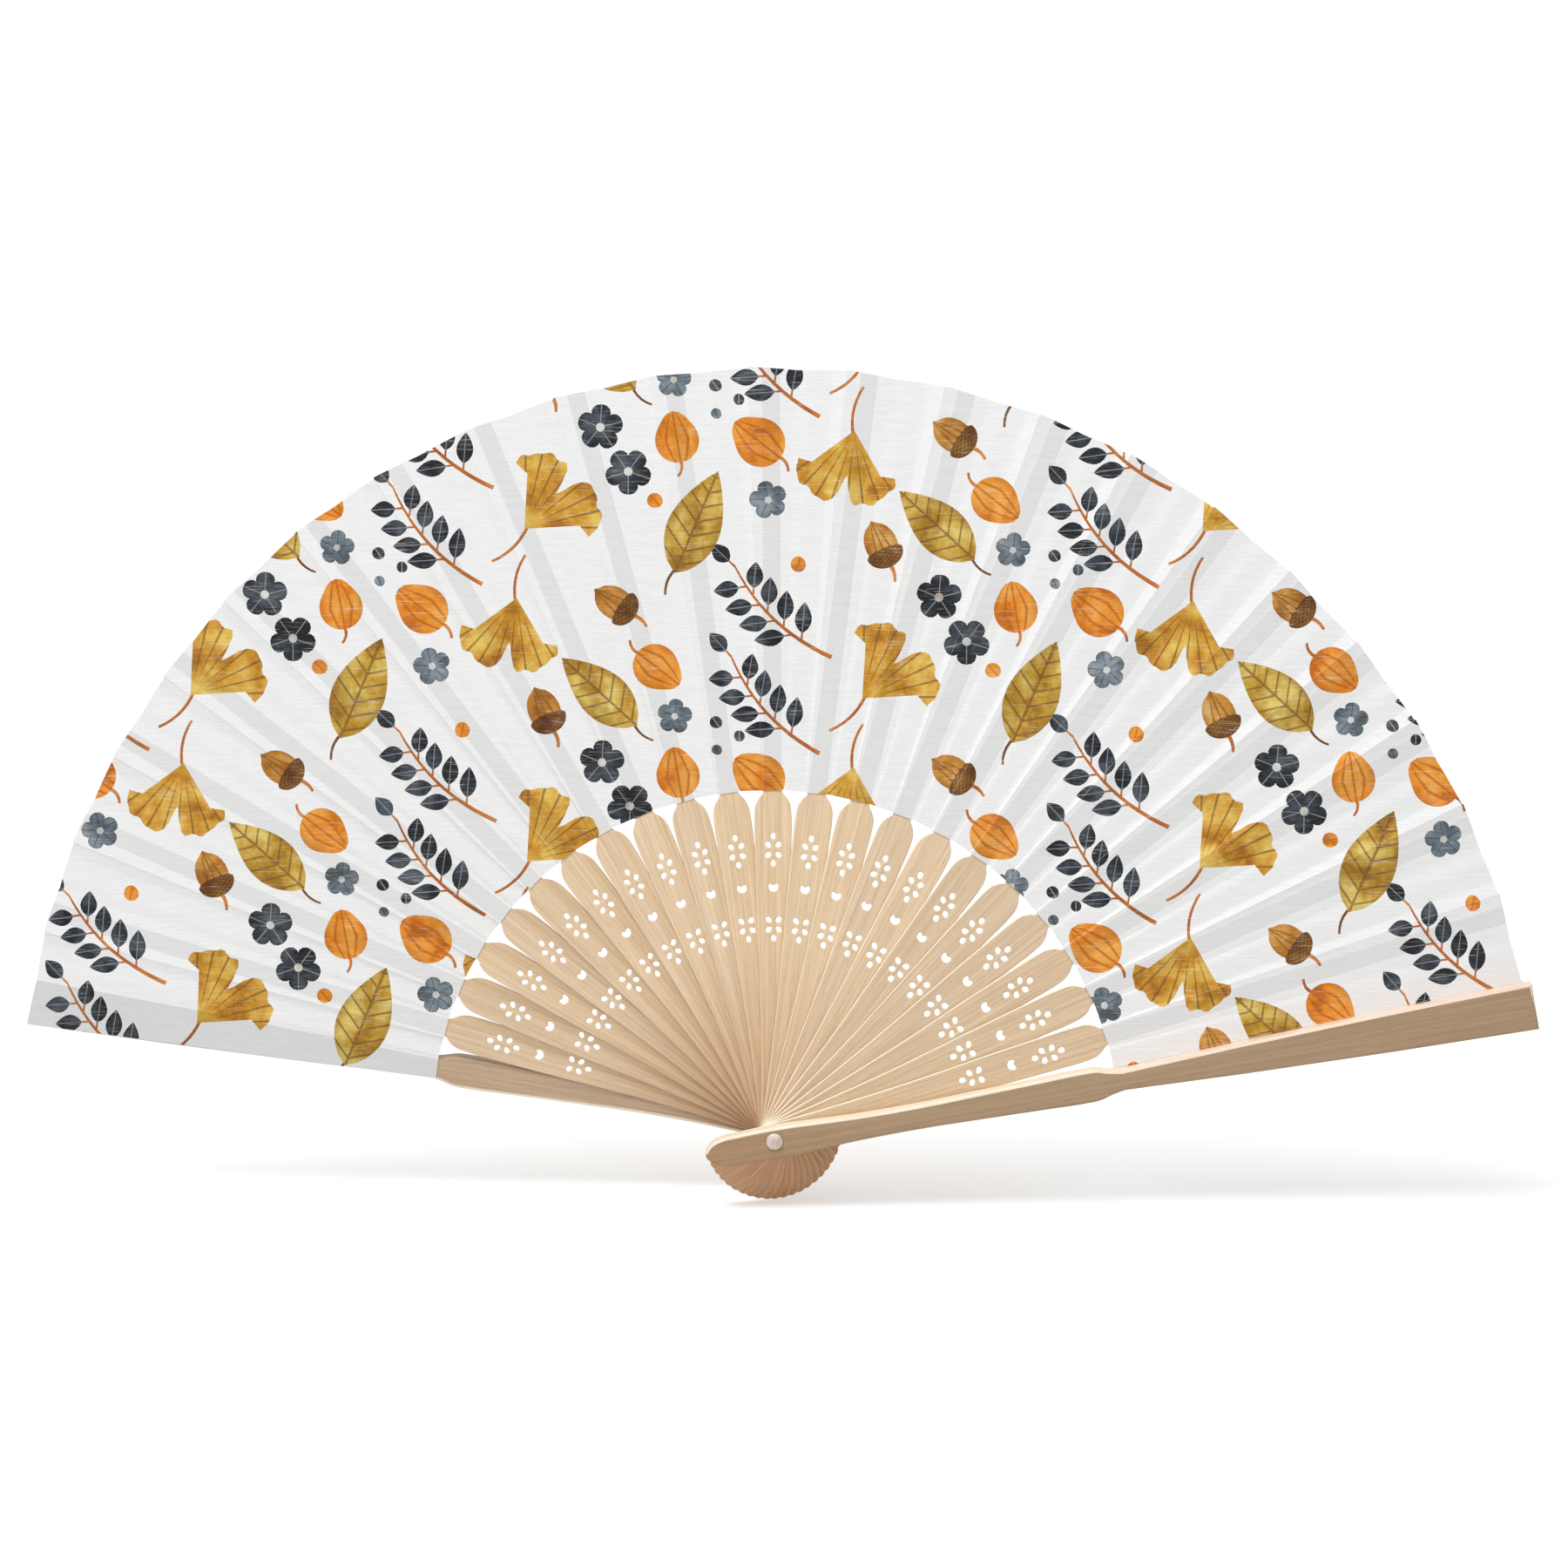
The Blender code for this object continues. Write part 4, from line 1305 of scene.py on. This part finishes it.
def cloth_mesh(name, sizes, rib, folds, depth_at, shapes, inks):
    """Cloth between two folds, cut along its folds and the outlines of its print."""
    low, valley, high = folds
    rim = counter_clockwise(pleat_rim(sizes, low, valley, high))
    near_shapes = []
    middle = (low + high) / 2
    spin = Matrix.Rotation(-middle, 2)
    for ink, loop, own in shapes:
        local = [spin @ point for point in loop]
        if max(point.x for point in local) < CLOTH_FROM or min(point.x for point in local) > CLOTH_TO:
            continue
        if min(abs(point.y) for point in local) > HALF_PLEAT_SPREAD * CLOTH_TO:
            continue
        near_shapes.append((ink, loop, own))
    points, edges, faces = [], [], []

    def add_loop(loop):
        start = len(points)
        points.extend(loop)
        faces.append(list(range(start, start + len(loop))))

    add_loop(rim)
    for _, loop, _ in near_shapes:
        add_loop(counter_clockwise(loop))
    for line in guide_lines(sizes, rib, low, valley, high):
        start = len(points)
        points.extend(line)
        edges.extend((start + step, start + step + 1) for step in range(len(line) - 1))
    flat, _, cut_faces, _, _, sources = delaunay_2d_cdt(points, edges, faces, 1, 1e-5)
    work = bmesh.new()
    leaf_uv = work.loops.layers.uv.new("Leaf")
    print_uv = work.loops.layers.uv.new("Print")
    motif_uv = work.loops.layers.uv.new("Motif")
    stain = work.loops.layers.float_color.new("Ink")
    made, ink_names = {}, list(inks)

    def corner(index):
        if index not in made:
            point = flat[index]
            radius, angle = point.length, math.atan2(point.y, point.x)
            depth = depth_at(angle, radius)
            made[index] = work.verts.new((point.x * MM, depth, point.y * MM))
        return made[index]

    axis = Matrix.Rotation(-rib_angle(sizes, rib), 2)
    # The Leaf map holds the distance from the rib's middle and how strong the painted shade of the rib behind
    # is.
    shows = GUARD_SHOWS if rib == REAR_GUARD else SLIP_SHOWS
    for cut, source in zip(cut_faces, sources):
        if 0 not in source:
            continue
        face = work.faces.new([corner(index) for index in cut])
        top = max(source)
        ink, own = ("cloth", None) if top == 0 else (near_shapes[top - 1][0], near_shapes[top - 1][2])
        face.material_index = ink_names.index(ink)
        for loop, index in zip(face.loops, cut):
            point = flat[index]
            rib_place = axis @ point
            loop[leaf_uv].uv = (rib_place.y * backing_share(sizes, rib, rib_place.x), shows)
            loop[print_uv].uv = point * MM
            loop[motif_uv].uv = own(point) if own else (0.0, 0.0)
            loop[stain] = inks[ink][1]
    mesh = bpy.data.meshes.new(name)
    work.normal_update()
    work.to_mesh(mesh)
    work.free()
    for material, _ in inks.values():
        mesh.materials.append(material)
    return mesh


def thicken(name, mesh, thickness, reverse_slot):
    sheet = add_object(name, mesh)
    solid = sheet.modifiers.new("cloth_thickness", "SOLIDIFY")
    solid.thickness = thickness
    solid.offset = 0.0
    solid.material_offset = reverse_slot
    solid.material_offset_rim = reverse_slot
    mesh = applied_mesh(sheet, name)
    soft_shade(mesh, "cloth")
    return add_object(name, mesh)


# ---------------------------------------------------------------- operators


def rib_body(rib):
    if rib == 0:
        return "front_guard"
    return "rear_guard" if rib == REAR_GUARD else f"stick_{rib:02d}"


class FAN_OT_finishes(bpy.types.Operator):
    """Make the shared effects of wood, cloth and ink"""

    bl_idname = "fan.make_finishes"
    bl_label = "Finishes"

    def execute(self, context):
        make_grain_group()
        make_weave_group()
        make_wash_group()
        return {"FINISHED"}


class FAN_OT_sticks(bpy.types.Operator):
    """Make the pierced inner sticks"""

    bl_idname = "fan.make_sticks"
    bl_label = "Sticks"

    def execute(self, context):
        sizes, colours = context.scene.fan_sizes, context.scene.fan_colours
        bamboo = make_wood(
            "stick_bamboo", (colours.bamboo_pale, colours.bamboo_deep), (colours.stick_edge_highlight,) * 2,
            (colours.head_shade_tint, colours.foot_shade_tint), 60 * MM, overlap_shade=colours.overlap_shade)
        chance = random.Random(STICK_TONE_SEED)
        mesh = make_stick_mesh(sizes)
        mesh.materials.append(bamboo)
        for rib in range(1, REAR_GUARD):
            stick = add_object(f"stick_look_{rib:02d}", mesh)
            keep_flats_flat(stick)
            stick.color = self.tone(rib, chance)
            stand_upright(stick, layer_depth(sizes, rib), rib_angle(sizes, rib))
            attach(stick, rib_body(rib))
            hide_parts(f"stick_{rib:02d}")
        return {"FINISHED"}

    def tone(self, rib, chance):
        """Each stick's own shade of bamboo, made lighter on the middle sticks as painted light, and how far
        its warm painted shade at the foot spreads.
        """
        # Painted light: the middle sticks are made lighter in place of the light that falls on them.
        lift = 1.0 + PAINTED_LIGHT_LIFT * math.sin(math.pi * clamped((rib - 4) / 17))
        warmth = chance.uniform(-TONE_WARMTH, TONE_WARMTH)
        shade = lift * chance.uniform(*TONE_SHADES)
        # The alpha sets how strongly the stick is painted as shaded: at its foot, under the stick in front
        # and at its edge highlight.
        foot = FOOT_LEAST + (1 - FOOT_LEAST) * clamped((rib - 2) / 13)
        return shade * (1 + warmth * 0.4), shade, shade * (1 - warmth), foot


class FAN_OT_guards(bpy.types.Operator):
    """Make the two thick outer ribs"""

    bl_idname = "fan.make_guards"
    bl_label = "Guards"

    def execute(self, context):
        sizes, colours = context.scene.fan_sizes, context.scene.fan_colours
        for rib in (0, REAR_GUARD):
            wood = make_wood(
                f"{rib_body(rib)}_bamboo", (colours.guard_pale, colours.guard_deep),
                (colours.edge_cream_highlight, colours.edge_rose_highlight), (colours.guard_head_tint,) * 2, 30 * MM,
                (colours.inside_pale, colours.inside_deep), -1 if rib == 0 else 1)
            guard = make_guard(sizes, rib, wood)
            guard.color = (1.0, 1.0, 1.0, 0.3)
            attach(guard, rib_body(rib))
            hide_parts(rib_body(rib))
        return {"FINISHED"}


class FAN_OT_rivet(bpy.types.Operator):
    """Make the pearly pivot pin"""

    bl_idname = "fan.make_rivet"
    bl_label = "Rivet"

    def execute(self, context):
        sizes, colours = context.scene.fan_sizes, context.scene.fan_colours
        rivet = make_rivet(sizes, make_pearl(colours.rivet))
        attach(rivet, "rear_guard")
        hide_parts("rivet")
        return {"FINISHED"}


class FAN_OT_leaf(bpy.types.Operator):
    """Make the printed, pleated cloth leaf"""

    bl_idname = "fan.make_leaf"
    bl_label = "Leaf"

    def execute(self, context):
        sizes, colours = context.scene.fan_sizes, context.scene.fan_colours
        inks = self.make_inks(colours)
        shapes = printed_shapes(context.scene.fan_print, sizes.leaf_outer)
        self.make_end_strip(sizes, shapes, inks)
        for rib in range(1, REAR_GUARD + 1):
            self.make_pleat(sizes, rib, shapes, inks)
        return {"FINISHED"}

    def make_inks(self, colours):
        """Each ink's material, and the colour that shows through on the back."""
        brown, charcoal = colours.brown, colours.charcoal
        recipes = {
            "gold": (colours.gold, (0.86, 0.62, 0.14, 1.0), brown, "fan"),
            "olive": (colours.olive, (0.83, 0.66, 0.19, 1.0), brown, "paired"),
            "brown": (brown, (0.40, 0.20, 0.05, 1.0), brown, "none"),
            "nut": (colours.nut, (0.80, 0.50, 0.16, 1.0), brown, "meridian"),
            "cup": (brown, (0.42, 0.22, 0.06, 1.0), (0.06, 0.02, 0.005, 1.0), "scales"),
            "orange": (colours.orange, (0.90, 0.45, 0.09, 1.0), (0.50, 0.12, 0.01, 1.0), "meridian"),
            "rust": (colours.rust, (0.80, 0.32, 0.07, 1.0), brown, "none"),
            "charcoal": (charcoal, (0.10, 0.12, 0.14, 1.0), (0.35, 0.38, 0.42, 1.0), "midrib"),
            "slate": (colours.slate, (0.34, 0.39, 0.43, 1.0), charcoal, "midrib"),
            "eye": ((0.62, 0.60, 0.55, 1.0), (0.80, 0.78, 0.74, 1.0), brown, "none"),
        }
        inks = {"cloth": (make_cloth("leaf_cloth_white", colours.cloth), tuple(colours.cloth))}
        for name, (ink, thin, vein_ink, veins) in recipes.items():
            material = make_cloth(f"leaf_ink_{name}", ink, thin, vein_ink, veins)
            inks[name] = (material, tuple(ink))
        inks["reverse"] = (make_reverse(colours.cloth), tuple(colours.cloth))
        return inks

    def make_pleat(self, sizes, rib, shapes, inks):
        name = f"pleat_look_{rib:02d}"
        folds = pleat_folds(sizes, rib)

        def depth_at(angle, radius):
            return cloth_depth(sizes, rib, angle, radius)

        mesh = cloth_mesh(name, sizes, rib, folds, depth_at, shapes, inks)
        pleat = thicken(name, mesh, sizes.cloth_thickness, len(inks))
        self.declare(sizes, pleat, folds)
        self.hang(sizes, pleat, rib, folds)
        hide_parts(f"leaf_pleat_{rib:02d}")

    def hang(self, sizes, pleat, rib, folds):
        """Bakes the pleat's place into its mesh."""
        low, valley, _ = folds
        start, end = polar(BLEND_RADIUS, valley), polar(BLEND_RADIUS, low)
        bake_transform(pleat)

    def make_end_strip(self, sizes, shapes, inks):
        name = "leaf_strip_look"
        low = rib_angle(sizes, 0) + END_STRIP_ANGLE
        high = rib_angle(sizes, 0) + sizes.mountain_angle
        depth = end_strip_depth(sizes)
        folds = (low, low, high)
        mesh = cloth_mesh(name, sizes, 0, folds, lambda angle, radius: depth, shapes, inks)
        strip = thicken(name, mesh, sizes.cloth_thickness, len(inks))
        self.declare(sizes, strip, folds)
        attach(strip, "front_guard")
        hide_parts("leaf_end_strip")

    def declare(self, sizes, piece, folds):
        """Does nothing."""


class FAN_OT_stage(bpy.types.Operator):
    """Set up the camera, the soft lights and the pale floor"""

    bl_idname = "fan.make_stage"
    bl_label = "Stage"

    def execute(self, context):
        stage = context.scene.fan_stage
        context.scene.view_settings.view_transform = "Standard"
        self.add_camera(context, stage)
        for name, power, size, place, aim in LIGHTS:
            self.add_light(name, getattr(stage, power), size, place, aim)
        self.add_world(context, stage.world_level)
        self.add_floor(stage.floor_height)
        return {"FINISHED"}

    def add_camera(self, context, stage):
        camera = bpy.data.cameras.new("camera")
        camera.lens = stage.lens
        camera.sensor_width = 36.0
        camera.clip_start = 0.01
        made = add_object("camera", camera)
        away = Vector((0.0, -math.cos(stage.elevation), math.sin(stage.elevation)))
        made.location = Vector(stage.aim) + away * stage.distance
        made.rotation_euler = (math.pi / 2 - stage.elevation, 0.0, 0.0)
        context.scene.camera = made

    def add_light(self, name, power, size, place, aim):
        light = bpy.data.lights.new(name, "AREA")
        light.shape = "DISK"
        light.size = size
        light.energy = power
        made = add_object(name, light)
        made.location = place
        made.rotation_euler = (Vector(aim) - Vector(place)).to_track_quat("-Z", "Y").to_euler()

    def add_world(self, context, level):
        world = bpy.data.worlds.new("studio")
        world.use_nodes = True
        context.scene.world = world
        tree = world.node_tree
        sky = tree.nodes["Background"]
        sky.inputs["Color"].default_value = WHITE
        path = put(tree, "ShaderNodeLightPath").outputs
        seen = larger(tree, path["Is Camera Ray"], path["Is Glossy Ray"])
        seen = larger(tree, seen, path["Is Transmission Ray"])
        strength = plus(tree, times(tree, seen, 1.0 - level), level)
        tree.links.new(strength, sky.inputs["Strength"])

    def add_floor(self, height):
        mesh = bpy.data.meshes.new("floor")
        work = bmesh.new()
        bmesh.ops.create_grid(work, x_segments=1, y_segments=1, size=FLOOR_REACH)
        work.to_mesh(mesh)
        work.free()
        floor = add_object("floor", mesh)
        floor.location = (0.0, 0.0, height)
        material, tree, shader = new_material("pale_floor", Roughness=0.9, Specular_IOR_Level=0.0)
        shader.inputs["Base Color"].default_value = FLOOR_COLOUR
        path = put(tree, "ShaderNodeLightPath").outputs
        place = put(tree, "ShaderNodeTexCoord").outputs["Object"]
        away = put(tree, "ShaderNodeVectorMath", {0: place}, operation="LENGTH").outputs["Value"]
        lift = spread(tree, away, *FLOOR_LIGHT)
        strength = times(tree, path["Is Camera Ray"], lift)
        glow = put(tree, "ShaderNodeEmission", {"Color": WHITE, "Strength": strength})
        both = put(tree, "ShaderNodeAddShader", {0: shader.outputs[0], 1: glow.outputs[0]})
        tree.links.new(both.outputs[0], tree.nodes["Material Output"].inputs["Surface"])
        mesh.materials.append(material)


class FAN_PT_sidebar(bpy.types.Panel):
    """Lists the fan's makers and their settings"""

    bl_idname = "FAN_PT_sidebar"
    bl_label = "Folding fan"
    bl_space_type = "VIEW_3D"
    bl_region_type = "UI"
    bl_category = "Fan"

    def draw(self, context):
        for operator in OPERATORS:
            self.layout.operator(operator.bl_idname)
        for group in (context.scene.fan_sizes, context.scene.fan_colours, context.scene.fan_print,
                      context.scene.fan_stage):
            for name in group.__annotations__:
                self.layout.prop(group, name)


GROUPS = (
    ("fan_sizes", FanSizes), ("fan_colours", FanColours), ("fan_print", FanPrint), ("fan_stage", FanStage))
OPERATORS = (
    FAN_OT_finishes, FAN_OT_sticks, FAN_OT_guards, FAN_OT_rivet, FAN_OT_leaf, FAN_OT_stage)


def register():
    for name, group in GROUPS:
        bpy.utils.register_class(group)
        setattr(bpy.types.Scene, name, PointerProperty(type=group))
    for operator in OPERATORS:
        bpy.utils.register_class(operator)
    bpy.utils.register_class(FAN_PT_sidebar)


def unregister():
    bpy.utils.unregister_class(FAN_PT_sidebar)
    for operator in reversed(OPERATORS):
        bpy.utils.unregister_class(operator)
    for name, group in reversed(GROUPS):
        delattr(bpy.types.Scene, name)
        bpy.utils.unregister_class(group)


def main():
    register()
    bpy.ops.fan.make_finishes()
    bpy.ops.fan.make_stage()
    bpy.ops.fan.make_sticks()
    bpy.ops.fan.make_guards()
    bpy.ops.fan.make_rivet()
    bpy.ops.fan.make_leaf()


if __name__ == "__main__":
    main()
